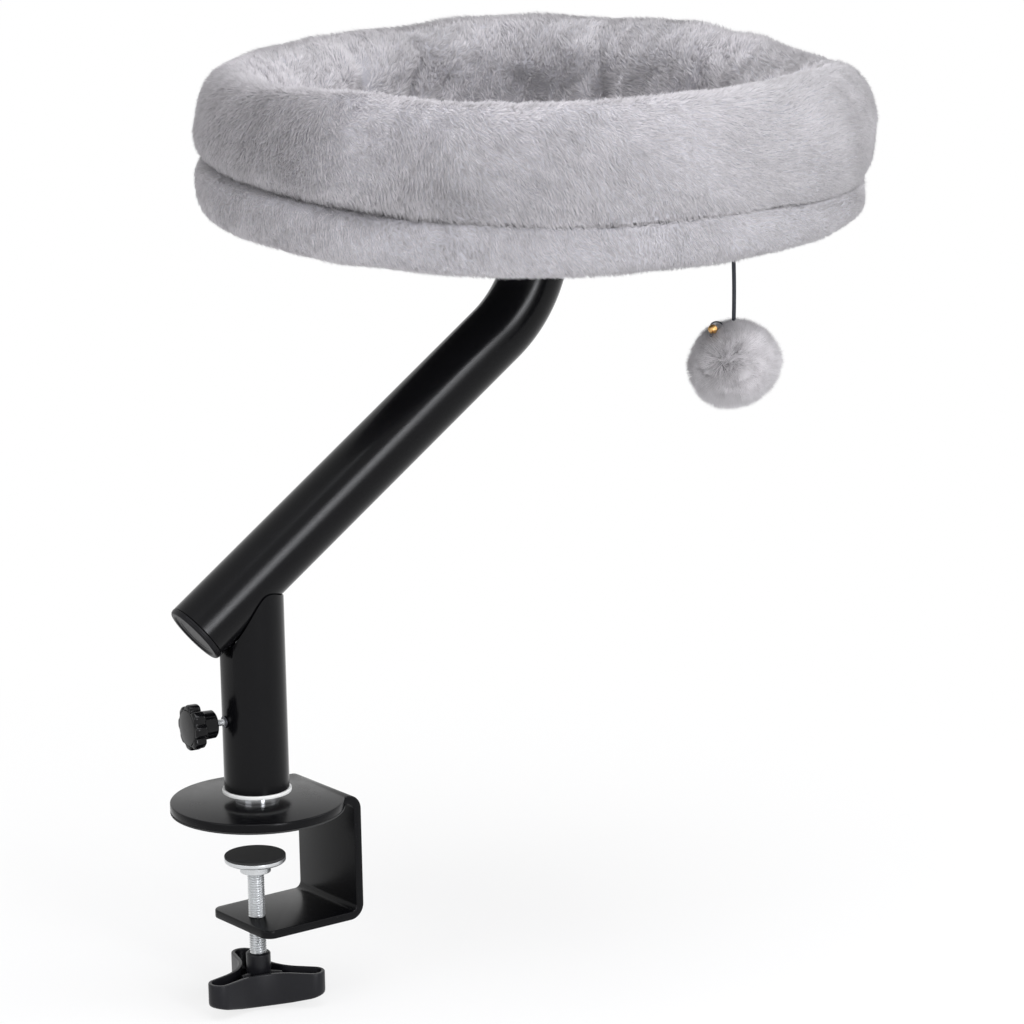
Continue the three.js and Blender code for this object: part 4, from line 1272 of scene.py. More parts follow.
    def socket_screw(self) -> Surface:
        """Low-headed screw about Z with a hexagon socket, its underside at height zero.

        Rows run from the shank out over the head to its face; there the radius passes from a circle
        to a hexagon, which is the across-flats radius over the cosine of the bearing from a flat.

        Returns:
            The surface.
        """
        sides, shank, head, high, end = 72, 3.0, 6.0, 3.4, 13.8
        hexagon = 2.0 / np.cos(np.mod(bearings(sides), TAU / 6) - TAU / 12)
        rows = [
            (0, end), (shank - 0.6, end), (shank, end - 0.6), (shank, 0.0), (head - 0.15, 0.0), (head, -0.15),
            (head, 1.1 - high), (head - 0.35, 0.4 - high), (head - 1.2, -high), (hexagon + 0.25, -high),
            (hexagon, 0.25 - high), (hexagon, 2.0 - high), (hexagon * 0.4, 2.2 - high), (0, 2.3 - high),
        ]
        return stepped(rows, sides)

    def build(self) -> None:
        """Makes the arm's pieces and dresses the hidden ones."""
        self.bush()
        self.upright()
        self.tube_piece()
        self.plug()
        self.flange_piece()
        circle, seat = self.screw_circle / 2, self.board_base - self.flange_thickness
        for i in range(4):
            bearing = radians(45 + 90 * i)
            spot = Place(shift=(circle * cos(bearing), circle * sin(bearing), seat))
            surface = self.socket_screw().placed(self.bed_place().after(spot))
            piece_of(f"flange_bolt_{i + 1}", surface, DARK_STEEL, Body.ARM, [f"flange_screw_{i + 1}"])
            redress(f"tee_nut_{i + 1}", ZINC)
        redress("upper_bush", NYLON)
        redress("bed_board", PLYWOOD)


@dataclass
class LockScrew:
    """Tapped insert, steel screw and lobed knob that lock the arm's turn."""

    height: float = 55.5
    tube_radius: float = Arm.tube / 2
    stand_off: float = 7.4
    hub: float = 17.0
    hub_end: float = 16.4
    hub_length: float = 9.0
    knob: float = 27.0
    lobes: int = 8
    lobe_depth: float = 2.1
    knob_thickness: float = 7.8
    face: float = 21.0
    face_rise: float = 0.8

    def place(self) -> Place:
        """The screw's own frame: +Z out of the upright's side."""
        return Arm().frame_place().after(Place(((0, 0, -1), (0, 1, 0), (1, 0, 0)), (0, 0, self.height)))

    def knob_surface(self) -> Surface:
        """Hub, lobed grip and domed face.

        The grip's radius falls from its full size by half the lobe depth times one less the cosine of
        eight times the bearing; rows pass from the round hub to the lobes and back to the round face.

        Returns:
            The surface.
        """
        sides = 192
        groove = np.clip(1 - np.cos(self.lobes * bearings(sides)), 0, 2) / 2
        lobed = self.knob / 2 - self.lobe_depth * groove**2.6
        start = self.tube_radius + self.stand_off
        grip = start + self.hub_length
        end = grip + self.knob_thickness
        hub, tip, face, rise = self.hub / 2, self.hub_end / 2, self.face / 2, self.face_rise
        rows = [
            (2.2, start + 0.6), (tip * 0.55, start), (tip - 0.5, start), (tip, start + 0.5),
            (hub, grip - 0.6), (hub + 0.5, grip), (lobed - 1.6, grip), (lobed - 0.7, grip + 0.25),
            (lobed - 0.15, grip + 0.85), (lobed, grip + 1.7), (lobed, end - 1.8), (lobed - 0.2, end - 0.9),
            (lobed - 0.8, end - 0.3), (lobed - 1.6, end), (face + 0.35, end), (face, end - 0.35),
            (face - 0.3, end + 0.15), (face / 1.5, end + rise * 0.75), (face / 3, end + rise * 0.95),
            (0, end + rise),
        ]
        return stepped(rows, sides)

    def build(self) -> None:
        """Makes the insert's flange, the screw and the knob."""
        place, seat = self.place(), self.tube_radius + 0.3
        bore, barrel, flange, end = 2.15, 3.1, 3.6, 12.6
        insert = turned([
            (bore, end), (barrel, end), (barrel, seat), (flange, seat), (flange, seat + 0.7),
            (bore, seat + 0.7), (bore, end),
        ], 64, 0.25)
        piece_of("threaded_insert", insert.placed(place), DARK_STEEL, Body.ARM, ["lock_insert"])
        screw = screw_thread(radius=2.0, pitch=0.7, depth=0.28, base=13.65, top=39.3, sides=40)
        piece_of("lock_stud", screw.placed(place), ZINC, Body.LOCK, ["lock_screw"], 75.0)
        knob = self.knob_surface().placed(place)
        piece_of("lobed_knob", knob, LOCK_PLASTIC, Body.LOCK, ["lock_knob"], 35.0)
        redress("lock_tip", NYLON)


# Plush


@dataclass(frozen=True)
class Nap:
    """How a pile lies: its strands' number, size, lift in degrees and wander, and its clumps."""

    strands: int
    length: float
    width: float
    lift: float
    wander: float
    seed: int
    clump: float = 2.4
    gather: float = 0.6


Weight = Callable[[Array, Array], Array]


def waves(points: Array, lengths: Sequence[float], seed: int) -> Array:
    """A smooth field over space: the mean of sines of the points along seeded directions.

    Args:
        points: places, in millimetres.
        lengths: the wavelengths, four sines of each.
        seed: which set of directions and phases.

    Returns:
        One value for each point, about -1 to 1.
    """
    rng = np.random.default_rng(seed)
    total = np.zeros(len(points))
    for length in lengths:
        direction = rng.normal(size=(3, 4))
        direction /= np.linalg.norm(direction, axis=0)
        total += np.sin(points @ direction * (TAU / length) + rng.uniform(0, TAU, 4)).sum(1) / 2.6
    return total / sqrt(len(lengths))


def cell_noise(points: Array, size: float, seed: int) -> Array:
    """Three seeded numbers of -0.5 to 0.5 for the cell of space that each point is in.

    Args:
        points: places, in millimetres.
        size: side of a cell.
        seed: which set of numbers.

    Returns:
        An array of three numbers a point.
    """
    cell = np.floor(points / size).astype(np.int64)
    key = (cell[:, 0] * 73856093) ^ (cell[:, 1] * 19349663) ^ (cell[:, 2] * 83492791) ^ (seed * 2654435761)
    turns = np.stack([np.sin(key % 100003 * k) * 43758.5453 for k in (12.9898, 78.233, 37.719)], 1)
    return turns - np.floor(turns) - 0.5


@dataclass
class Cloth:
    """A finished mesh as arrays, for laying a pile on it."""

    points: Array
    normals: Array
    corners: Array

    @classmethod
    def of(cls, piece: Piece) -> "Cloth":
        """Reads a piece's mesh, in millimetres.

        Args:
            piece: the object.

        Returns:
            Its points, normals and triangles.
        """
        mesh = piece.data
        mesh.calc_loop_triangles()
        corners = read(mesh.loop_triangles, "vertices", np.int32)
        return cls(points_of(mesh), read(mesh.vertices, "normal"), corners)

    def sample(self, count: int, weight: Weight, rng: np.random.Generator) -> tuple[Array, Array]:
        """Places strewn over the cloth, more where a triangle is larger or its weight is more.

        Args:
            count: number of places.
            weight: weight of each triangle from its middle and its normal.
            rng: the seeded source of numbers.

        Returns:
            The places and the normals there.
        """
        a, b, c = (self.points[self.corners[:, i]] for i in range(3))
        across = np.cross(b - a, c - a)
        area = np.linalg.norm(across, axis=1)
        share = area * weight((a + b + c) / 3, unit(across))
        spots = (np.arange(count) + rng.uniform(size=count)) / count
        chosen = np.minimum(np.searchsorted(np.cumsum(share) / share.sum(), spots), len(area) - 1)
        u, v = rng.uniform(size=(2, count, 1))
        flip = u + v > 1
        u, v = np.where(flip, 1 - u, u), np.where(flip, 1 - v, v)
        places = a[chosen] + u * (b[chosen] - a[chosen]) + v * (c[chosen] - a[chosen])
        n = [self.normals[self.corners[chosen, i]] for i in range(3)]
        return places, unit(n[0] + u * (n[1] - n[0]) + v * (n[2] - n[0]))


def strand_mesh(
    name: str, roots: Array, tips: Array, width: Array, tone: Array, chart: Array,
    fade: tuple[float, float] = (0.85, 0.25),
) -> bpy.types.Mesh:
    """A mesh of three-sided spikes.

    Each spike has three root corners on a circle square to it, a third of a turn apart, and one tip;
    its map point is its root's place on the chart, with its corners a little apart.

    Args:
        name: the mesh's name.
        roots: root places, in millimetres.
        tips: tip places.
        width: width at each root.
        tone: tone of each strand, 0 to 1, with its random tint and any painted light and shade.
        chart: map point of each root, 0 to 1.
        fade: painted shade at the roots: a root's tone is its tip's times the first, less the second.

    Returns:
        The mesh, in metres.
    """
    count = len(roots)
    axis = unit(tips - roots)
    side = unit(np.cross(axis, np.where(np.abs(axis[:, 2:]) < 0.8, [[0, 0, 1.0]], [[1.0, 0, 0]])))
    circle = circled(side, np.cross(axis, side), 3)
    points = np.concatenate([roots[:, None] + circle * (width / 2)[:, None, None], tips[:, None]], 1)
    corners = np.array([[0, 1, 3], [1, 2, 3], [2, 0, 3]])
    faces = (np.arange(count)[:, None, None] * 4 + corners).reshape(-1)
    mesh = bpy.data.meshes.new(name)
    mesh.vertices.add(count * 4)
    mesh.vertices.foreach_set("co", (points * MM).reshape(-1))
    mesh.loops.add(len(faces))
    mesh.loops.foreach_set("vertex_index", faces.astype(np.int32))
    mesh.polygons.add(count * 3)
    mesh.polygons.foreach_set("loop_start", np.arange(count * 3, dtype=np.int32) * 3)
    mesh.update(calc_edges=True)
    # Painted shade at each strand's root, and painted light towards its tip.
    root = fade[0] * tone - fade[1]
    put_tone(mesh, np.clip(np.stack([root, root, root, tone * 0.75 + 0.25], 1), 0, 1))
    spread = np.array([[0, 0], [1, 0], [0.5, 1], [0.5, 0.4]]) * 0.002
    uv = (np.clip(chart, 0, 0.99)[:, None] + spread).reshape(-1, 2)[faces]
    mesh.uv_layers.new(name="OFBake").data.foreach_set("uv", uv.reshape(-1).astype(np.float32))
    mesh.shade_smooth()
    return mesh


@dataclass
class Upholstery:
    """Stuffs covers: blows each up like a cushion by cloth simulation, within a set distance."""

    voxel: float = 4.2
    pressure: float = 4.0
    cap: float = 3.5
    frames: int = 20
    quality: int = 4
    mass: float = 0.3
    stretch: float = 12.0
    bending: float = 0.8

    def cover(self, name: str, surface: Surface) -> Piece:
        """Args:
            name: the piece's name.
            surface: the cover's shape.

        Returns:
            The object.
        """
        piece = add(name, surface.mesh(name, 180.0))
        remesh = piece.modifiers.new("cells", "REMESH")
        remesh.mode, remesh.voxel_size = "VOXEL", self.voxel * MM
        self.settle(piece)
        return piece

    @staticmethod
    def settle(piece: Piece) -> None:
        """Applies a piece's modifiers.

        Args:
            piece: the object.
        """
        seen = piece.evaluated_get(bpy.context.evaluated_depsgraph_get())
        mesh = bpy.data.meshes.new_from_object(seen)
        piece.modifiers.clear()
        piece.data = mesh

    def stuff(self, covers: Sequence[Piece]) -> None:
        """Runs one simulation for all the covers and keeps each point within the cap.

        Args:
            covers: the covers.
        """
        for cover in covers:
            cloth = cover.modifiers.new("cloth", "CLOTH")
            cloth.settings.quality = self.quality
            cloth.settings.mass = self.mass
            cloth.settings.tension_stiffness = cloth.settings.compression_stiffness = self.stretch
            cloth.settings.bending_stiffness = self.bending
            cloth.settings.use_pressure = True
            cloth.settings.uniform_pressure_force = self.pressure
            cloth.settings.effector_weights.gravity = 0
            cloth.point_cache.frame_start, cloth.point_cache.frame_end = 1, self.frames
        for number in range(1, self.frames + 1):
            bpy.context.scene.frame_set(number)
        for cover in covers:
            before = points_of(cover.data)
            self.settle(cover)
            move = points_of(cover.data) - before
            length = np.maximum(np.linalg.norm(move, axis=1, keepdims=True), 1e-9)
            put_points(cover, before + move * np.minimum(1, self.cap / length))
            log.info("%s: stuffed, moved %.1f mm at most", cover.name, min(length.max(), self.cap))
        bpy.context.scene.frame_set(1)

    def finer(self, piece: Piece) -> None:
        """Adds one subdivision and applies it.

        Args:
            piece: the object.
        """
        smoother = piece.modifiers.new("finer", "SUBSURF")
        smoother.levels = smoother.render_levels = 1
        self.settle(piece)
        piece.data.shade_smooth()


@dataclass
class PlushBed:
    """Base ring, bolster and seat cushion of the bed, with their pile."""

    board_base: float = Arm.board_base
    board_radius: float = 164.0
    board_thickness: float = 12.0
    board_top: float = board_base + board_thickness
    cover_thickness: float = 1.5
    ring_radius: float = 181.0
    ring_half: float = 16.4
    ring_drop: float = 3.5
    ring_draw: float = 8.0
    ring_lift: float = 3.0
    ring_lift_bearing: float = 195.0
    crease_height: float = 26.5
    crease_tilt: float = 9.0
    crease_bearing: float = 152.0
    bolster_radius: float = 174.0
    bolster_half: float = 21.5
    bolster_middle: float = 55.0
    bolster_top: float = 86.0
    rise: float = 10.0
    rises: tuple[float, ...] = (
        -1.0, -0.35, 0.1, 0.1, 0.2, 0.16, -0.1, -0.12, -0.12, -0.14, -0.1, 0.05,
        0.25, 0.6, 0.75, 0.4, 0.35, 0.45, 0.55, 0.5, 0.42, 0.05, -0.4, -0.9,
    )
    sags: tuple[float, ...] = (3.0, 1.0, 0.0, 0.0, -1.0, -2.2, -1.8, 2.0, 5.4, 4.6, 3.4, 4.0)
    full_left: float = 1.6
    full_right: float = 2.6
    dips: tuple[float, ...] = (
        0, 0, 0, 0, 0, 0, 0, 0, 0, 0, 0, 0,
        -0.5, -2.0, -3.0, -2.8, -2.2, -2.6, 0.5, 1.5, 0.5, -1.0, -2.5, -1.0,
    )
    lump: float = 1.5
    seat_radius: float = 150.5
    seat_edge: float = 12.0
    seat_crown: float = 25.0
    seat_dent: float = 4.0
    pile_sink: float = 0.6
    proud: float = -0.5
    fold_bearing: float = 155.0
    nap_bearings: tuple[float, float] = (150.0, 195.0)
    fan_bearing: float = 106.0
    seam_bearing: float = 46.0
    inward_draw: float = 4.0
    # Patches where the nap is lifted and painted darker, or flattened and painted lighter: bearing, height,
    # half width, half height, amount.
    nap_patches_lift_and_light: tuple[tuple[float, float, float, float, float], ...] = (
        (187, 405, 34, 20, -0.1), (160, 397, 14, 14, -0.16), (160, 426, 60, 14, -0.24),
        (196, 384, 30, 10, -0.2), (228, 374, 18, 10, -0.4), (222, 395, 44, 26, -0.14),
        (196, 398, 46, 24, -0.17), (176, 352, 30, 12, -0.06), (228, 350, 18, 7, -0.2),
        (208, 350, 18, 8, 0.16), (214, 361, 14, 5, -0.3), (-60, 398, 60, 30, 0.06),
        (-18, 396, 60, 44, 0.24), (-44, 350, 12, 8, -0.2), (-122, 385, 46, 26, -0.12),
        (88, 402, 28, 22, -0.45), (60, 394, 36, 22, -0.5), (46, 398, 2, 24, -0.4), (50, 400, 5, 22, 0.12),
        (32, 404, 24, 18, -0.42), (112, 405, 14, 12, 0.16), (10, 398, 18, 12, -0.04),
        (128, 372, 25, 14, -0.2), (-20, 375, 30, 18, 0.06),
    )
    # Points that the nap spreads from: bearing, radius, height, reach.
    whorls: tuple[tuple[float, float, float, float], ...] = ((108, 153, 400, 20), (64, 153, 398, 15))

    def place(self) -> Place:
        """The bed's frame: the swivel arm's turn and reach."""
        return Arm().bed_place()

    def local(self, points: Array) -> Array:
        """Points of the part in the bed's own frame."""
        return self.place().local(points)

    def high_side(self, bearing: Array) -> Array:
        """Cosine of the turn from the crease's high side."""
        return np.cos(bearing - radians(self.crease_bearing))

    def crease(self, bearing: Array) -> Array:
        """Height of the crease: its mean, the tilt times the cosine from its high side, and its dips."""
        level = self.board_base + self.crease_height + self.round_share(bearing, self.dips)
        return level + self.crease_tilt * self.high_side(bearing)

    def flush(self, bearing: Array) -> Array:
        """Radius of the ring's outer side at each bearing."""
        return self.ring_radius + self.ring_half + self.ring_draw * (self.high_side(bearing) - 1) / 2

    def closed(self, bearing: Array) -> Array:
        """1 where the crease is closed up, 0 where it is a deep fold, by the turn from the fold's middle."""
        return smooth(np.clip((np.degrees(np.abs(aside(bearing, self.fold_bearing))) - 55) / 33, 0, 1))

    @staticmethod
    def round_share(bearing: Array, shares: Sequence[float]) -> Array:
        """A value that passes smoothly through shares listed at even bearings.

        Args:
            bearing: bearings, radians.
            shares: the listed values.

        Returns:
            The value at each bearing, eased between neighbours.
        """
        listed = np.asarray(shares, float)
        spot = np.mod(bearing / TAU, 1) * len(listed)
        before = np.floor(spot).astype(int) % len(listed)
        step = listed[(before + 1) % len(listed)] - listed[before]
        return listed[before] + step * smooth(spot - np.floor(spot))

    @staticmethod
    def bulge(value: Array, power: Array | float) -> Array:
        """A sine or cosine raised to two over the power, its sign kept."""
        return np.sign(value) * np.abs(value) ** (2 / power)

    @staticmethod
    def section(along: int, round_it: int) -> tuple[Array, Array]:
        """Even bearings round the bed, as rows, and even turns round a section, as columns."""
        bearing = np.linspace(0, TAU, along, endpoint=False)
        return bearing[:, None], np.linspace(0, TAU, round_it, endpoint=False)[None]

    def ring_cover(self) -> Surface:
        """Base ring's cover: an oval section carried round the board.

        The section is a squared oval between the ring's base and the crease, drawn in on the low
        side of the crease and lifted on one side.

        Returns:
            The surface.
        """
        bearing, turn = self.section(220, 40)
        high = self.crease(bearing)
        low = self.board_base - self.ring_drop - self.round_share(bearing, self.sags)
        low = low + self.ring_lift * (1 + np.cos(bearing - radians(self.ring_lift_bearing))) / 2
        outward = np.maximum(np.cos(turn), 0)
        draw = self.flush(bearing) - self.ring_radius - self.ring_half
        draw = draw + 0.7 * self.full_left * np.maximum(self.high_side(bearing), 0) ** 2 * outward
        lumps = 0.8 * np.sin(9 * bearing + 2 * np.sin(turn)) + 0.6 * np.sin(17 * bearing + turn)
        closed = self.closed(bearing)
        power = np.where(np.sin(turn) > 0, 4.2 + 3.8 * closed, 2.5 - 0.25 * closed)
        reach = self.ring_radius + draw + (self.ring_half + self.proud) * self.bulge(np.cos(turn), power)
        height = (high + low) / 2 + (high - low) / 2 * self.bulge(np.sin(turn), power)
        return carried(bearing, reach + lumps * outward, height)

    def bolster_cover(self) -> Surface:
        """Bolster's cover: a fat section carried round, its top rising and falling.

        The section's height runs from the crease to the bolster's top; its width is a squared oval,
        fuller below where the crease closes up, with slow lumps of stuffing. Over the board it
        reaches down to the board instead, as a skirt behind the ring.

        Returns:
            The surface.
        """
        bearing, turn = self.section(240, 56)
        swell = self.rise * self.round_share(bearing, self.rises)
        top = self.board_base + self.bolster_top + swell + self.proud
        low, closed, high_side = self.crease(bearing), self.closed(bearing), self.high_side(bearing)
        middle = self.board_base + self.bolster_middle + 0 * bearing
        side = np.sin(turn)
        round_side = np.maximum(np.cos(bearing + 0.2), 0) ** 2
        full = np.where(side < 0, 4.4 + 4.6 * closed, 2.05 - 0.3 * round_side)
        rise = self.bulge(side, full)
        height = middle + np.where(rise > 0, rise * (top - middle), rise * (middle - low))
        lumps = self.lump * (np.sin(5 * bearing + np.sin(turn) + 1) + 0.6 * np.sin(11 * bearing + turn)) / 2
        half = (self.bolster_half + self.proud) * self.bulge(np.cos(turn), full)
        reach = self.bolster_radius + half + lumps
        left, right = np.maximum(high_side, 0) ** 2, np.maximum(-high_side, 0) ** 2
        full_side = self.full_left * left + self.full_right * right
        reach = reach + full_side * np.where(side > 0, 0.3, 1) * np.maximum(np.cos(turn), 0)
        past = np.maximum(self.bolster_radius + self.bolster_half + full_side - self.flush(bearing), 0)
        depth = np.clip((middle - height) / (middle - low), 0, 1) ** 2.2
        reach = reach - past * closed * depth * (np.cos(turn) > 0)
        skirt = (side < 0) & (reach < self.board_radius)
        reach = np.where(skirt, np.minimum(reach, self.board_radius - 1), reach)
        height = np.where(skirt, middle + rise * (middle - self.board_top - 0.6), height)
        reach = reach - np.where(skirt, 2.5 * np.clip((self.board_top + 22 - height) / 20, 0, 1), 0)
        return carried(bearing, reach, height)

    def seat_cover(self) -> Surface:
        """Seat cushion's cover: drawn-in side, full crown, settled middle.

        The crown's height is the edge's plus the rest times the square root of one less the radius
        share to the 2.4, less the dent times one less the share squared, squared.

        Returns:
            The surface.
        """
        share = np.linspace(0, 1, 40)
        swell = np.sqrt(np.maximum(0, 1 - share**2.4))
        crown = self.seat_edge + (self.seat_crown - self.seat_edge) * swell
        crown = crown - self.seat_dent * (1 - share**2) ** 2
        base = self.board_top + 0.4
        side = np.array([[1.01, 0.65], [1.0, 0.3], [0.96, 0.05]])
        radii = np.concatenate([share, side[:, 0], share[::-1] * 0.93]) * (self.seat_radius - 1)
        heights = np.concatenate([base + crown - 1, base + self.seat_edge * side[:, 1], np.full(40, base)])
        tall = heights[:, None] * np.ones(200)
        tall[:40] += 1.2 * np.sin(3 * bearings(200) + 1) * (share * (1 - share) * 4)[:, None]
        return ringed(radii[:, None] * np.ones(200), tall)

    def gathers(self, piece: Piece) -> None:
        """Presses the gathers, the seam and the folds into the bolster's inner wall.

        A point moves along its normal by folds of its bearing, which fade from the inner wall over
        the top: sharp cosine folds all round, a fan of deeper ones at the left, and one seam.

        Args:
            piece: the bolster.
        """
        cloth = Cloth.of(piece)
        at = self.local(cloth.points)
        radius, bearing = polar(at)
        out = (radius - self.bolster_radius) / self.bolster_half
        up = (at[:, 2] - self.board_base - self.bolster_middle) / (self.bolster_top - self.bolster_middle)
        inner = np.clip(0.35 - out, 0, 1.2) / 1.2 * np.clip((at[:, 2] - self.board_top - 10) / 16, 0, 1)
        drift = bearing + 0.18 * np.sin(3 * bearing) + 0.08 * np.sin(7 * bearing + 1) + 0.04 * np.sin(4 * up)
        folds = np.clip(np.cos(14 * drift), 0, 1) ** 4
        small = np.clip(np.cos(37 * drift + 2 * up), 0, 1) ** 2
        fan_at = aside(bearing, self.fan_bearing)
        fan = near(fan_at / 0.32) * np.clip(np.cos(22 * fan_at + 1.5 * up), -0.3, 1)
        seam = near(aside(bearing, self.seam_bearing) / 0.028)
        press = inner * (2.6 * folds + 1.1 * small + 3.2 * fan + 2.4 * seam)
        put_points(piece, cloth.points - cloth.normals * press[:, None])

    def settle_on_board(self, piece: Piece, above: bool) -> None:
        """Keeps a cover off the board and on its own side of the crease.

        Points within the board's room move up to its top or out to its edge, whichever is nearer,
        points past the crease's level move back to it, and where the crease is closed up its two
        edges are drawn out to meet.

        Args:
            piece: the cover.
            above: whether it lies above the crease.
        """
        clear = 0.3
        at = self.local(points_of(piece.data))
        radius, bearing = polar(at)
        low, high = self.board_base - self.cover_thickness - clear, self.board_top + clear
        edge = self.board_radius + clear
        within = (radius < edge) & (at[:, 2] > low) & (at[:, 2] < high)
        lift = within & (high - at[:, 2] <= edge - radius)
        at[:, 2] = np.where(lift, high, at[:, 2])
        at[:, :2] *= np.where(within & ~lift, edge / np.maximum(radius, 1e-6), 1)[:, None]
        level = self.crease(bearing)
        if above:
            at[:, 2] = np.where(radius > self.board_radius, np.maximum(at[:, 2], level + clear), at[:, 2])
        else:
            at[:, 2] = np.minimum(at[:, 2], level - clear)
        radius = np.hypot(at[:, 0], at[:, 1])
        edge = self.flush(bearing) - 0.6
        drawn = near((at[:, 2] - level) / 4.5) * self.closed(bearing) * (radius > edge - 7)
        at[:, :2] *= (1 + drawn * np.maximum(edge - radius, 0) / radius)[:, None]
        put_points(piece, self.place().apply(at))

    def nap_lift_and_light_at(self, at: Array) -> Array:
        """How much the nap is painted lighter or darker, and flattened or lifted: each patch's amount times
        bell curves of the distances.

        Args:
            at: places in the bed's frame.

        Returns:
            The sum over the patches, for each place.
        """
        radius, bearing = polar(at)
        total = np.zeros(len(at))
        for where, height, wide, tall, amount in self.nap_patches_lift_and_light:
            across, up = radius * aside(bearing, where) / wide, (at[:, 2] - height) / tall
            total += amount * near(across) * near(up)
        return total

    def whorled(self, at: Array, lay: Array, turn: Array) -> Array:
        """Turns the nap away from the middle of each whorl.

        Args:
            at: places in the bed's frame.
            lay: the nap's direction at each, in the part's frame.
            turn: the bed frame's turn.

        Returns:
            The directions, blended by a bell curve of the distance from each whorl's middle.
        """
        for where, radius, height, size in self.whorls:
            b = radians(where)
            apart = at - np.array([radius * cos(b), radius * sin(b), height])
            far = np.linalg.norm(apart, axis=1, keepdims=True)
            share = 0.65 * near(far / size)
            lay = lay * (1 - share) + share * (apart @ turn.T) / np.maximum(far, 1e-6)
        return unit(lay)

    def nap_way(self, roots: Array, normals: Array, wander: float) -> Array:
        """The nap's direction over the cloth: down the section, turned by slow waves.

        Args:
            roots: places on the cloth.
            normals: the cloth's normals there.
            wander: how far the waves turn it.

        Returns:
            Unit vectors in the part's frame.
        """
        turn = np.asarray(self.place().turn)
        at = self.local(roots)
        radius, bearing = polar(at)
        ring = np.stack([-np.sin(bearing), np.cos(bearing), 0 * bearing], 1) @ turn.T
        down = unit(np.cross(ring, normals))
        along = np.cross(normals, down)
        inward = radius < self.bolster_radius - self.inward_draw
        swirl = waves(roots, (150, 70), 51) + np.where(inward, 1.0, 0.5) * waves(roots, (32, 18), 52)
        swirl = wander * (swirl + np.where(inward, 0.8, 0.4) * waves(roots, (9, 6), 53))
        front = np.cos(bearing - radians(self.nap_bearings[0]))
        angle = np.where(inward, 0.3, 0.85 - 0.35 * front) + swirl
        return self.whorled(at, down * np.cos(angle)[:, None] + along * np.sin(angle)[:, None], turn)

    def pile(self, name: str, piece: Piece, nap: Nap, weight: Weight) -> Piece:
        """Lays a pile on a cushion.

        A strand leaves the cloth at its lift angle and points along the nap, and its tip leans to its clump's
        middle. Where the patches are positive strands lie flatter and are painted lighter, where negative
        they stand up and are painted darker; those in the crease get painted shade.

        Args:
            name: the pile's name.
            piece: the cushion.
            nap: how the pile lies.
            weight: share of strands by place and normal, in the bed's frame.

        Returns:
            The pile's object.
        """
        rng = np.random.default_rng(nap.seed)
        turn = np.asarray(self.place().turn)
        cloth = Cloth.of(piece)
        roots, normals = cloth.sample(nap.strands, lambda p, n: weight(self.local(p), n @ turn), rng)
        count, at = len(roots), self.local(roots)
        radius, bearing = polar(at)
        inward = radius < self.bolster_radius - self.inward_draw
        left = np.cos(bearing - radians(self.nap_bearings[1]))
        mottled = np.where(inward, 0.11, 0.035 + 0.07 * (1 + left) / 2)
        coarse = np.where(inward, 0.45, 0.6) * waves(roots, (42, 24), 61)
        fine = waves(roots, (13, 8), 62) + 0.8 * waves(roots, (5.5, 4), 63)
        # Patches and random mottle that flatten or lift the nap, and paint it lighter or darker.
        nap_lift_and_light = self.nap_lift_and_light_at(at) + mottled * (coarse + fine)
        lift = np.radians(nap.lift) * (1 + 0.3 * waves(roots, (60, 26), 64) + 0.12 * rng.normal(size=count))
        lift = np.clip(lift - 0.5 * nap_lift_and_light, 0.14, 1.2)
        length = nap.length * (1 + 0.13 * rng.normal(size=count)) * (1 + 0.1 * waves(roots, (45,), 65))
        way = self.nap_way(roots, normals, nap.wander) * np.cos(lift)[:, None]
        tips = roots + length[:, None] * (way + normals * np.sin(lift)[:, None])
        centre = (np.floor(roots / nap.clump) + 0.5) * nap.clump
        lean = centre - roots + cell_noise(roots, nap.clump, nap.seed) * nap.clump * 1.5
        lean -= (lean * normals).sum(1, keepdims=True) * normals
        tips += nap.gather * lean + 0.25 * rng.normal(size=tips.shape)
        tone = 0.75 + 0.24 * cell_noise(roots, nap.clump * 1.3, nap.seed + 9)[:, 0]
        tone += 0.1 * rng.normal(size=count)
        # Painted shade in the crease: strands by an open fold, and along the crease line, are made darker.
        apart = at[:, 2] - self.crease(bearing)
        painted_fold_shade = (1 - self.closed(bearing)) * near(apart / 3.5)
        tone += nap_lift_and_light - (0.5 * painted_fold_shade + 0.2 * near(apart / 1.4)) * ~inward
        row = np.clip((at[:, 2] - 325) / 110, 0, 1) * 0.5 + 0.5 * (radius > self.bolster_radius)
        chart = np.stack([np.mod(bearing / TAU, 1), row], 1)
        width = np.clip(nap.width * (1 + 0.2 * rng.normal(size=count)), 0.3, 2)
        mesh = strand_mesh(name, roots - normals * self.pile_sink, tips, width, np.clip(tone, 0, 1), chart)
        return dress(add(name, mesh), PILE, Body.ARM)

    def cushions(self) -> tuple[Piece, ...]:
        """Makes the cushions, stuffed, pressed and dressed.

        Returns:
            The ring, the bolster and the seat.
        """
        shop, place = Upholstery(), self.place()
        ring = shop.cover("plush_ring", self.ring_cover().placed(place))
        bolster = shop.cover("plush_bolster", self.bolster_cover().placed(place))
        seat = shop.cover("plush_seat", self.seat_cover().placed(place))
        shop.stuff([ring, bolster, seat])
        self.settle_on_board(ring, False)
        self.settle_on_board(bolster, True)
        for piece in (ring, bolster, seat):
            shop.finer(piece)
        self.gathers(bolster)
        nodes = ((ring, "base_ring", 0.75), (bolster, "bolster", 0.7), (seat, "seat_cushion", 0.55))
        for piece, node, fill in nodes:
            put_tone(piece.data, 0.55 + 0.2 * waves(points_of(piece.data), (40, 90), 5))
            dress(piece, SHADED_BACKING, Body.ARM, [node])
        return ring, bolster, seat

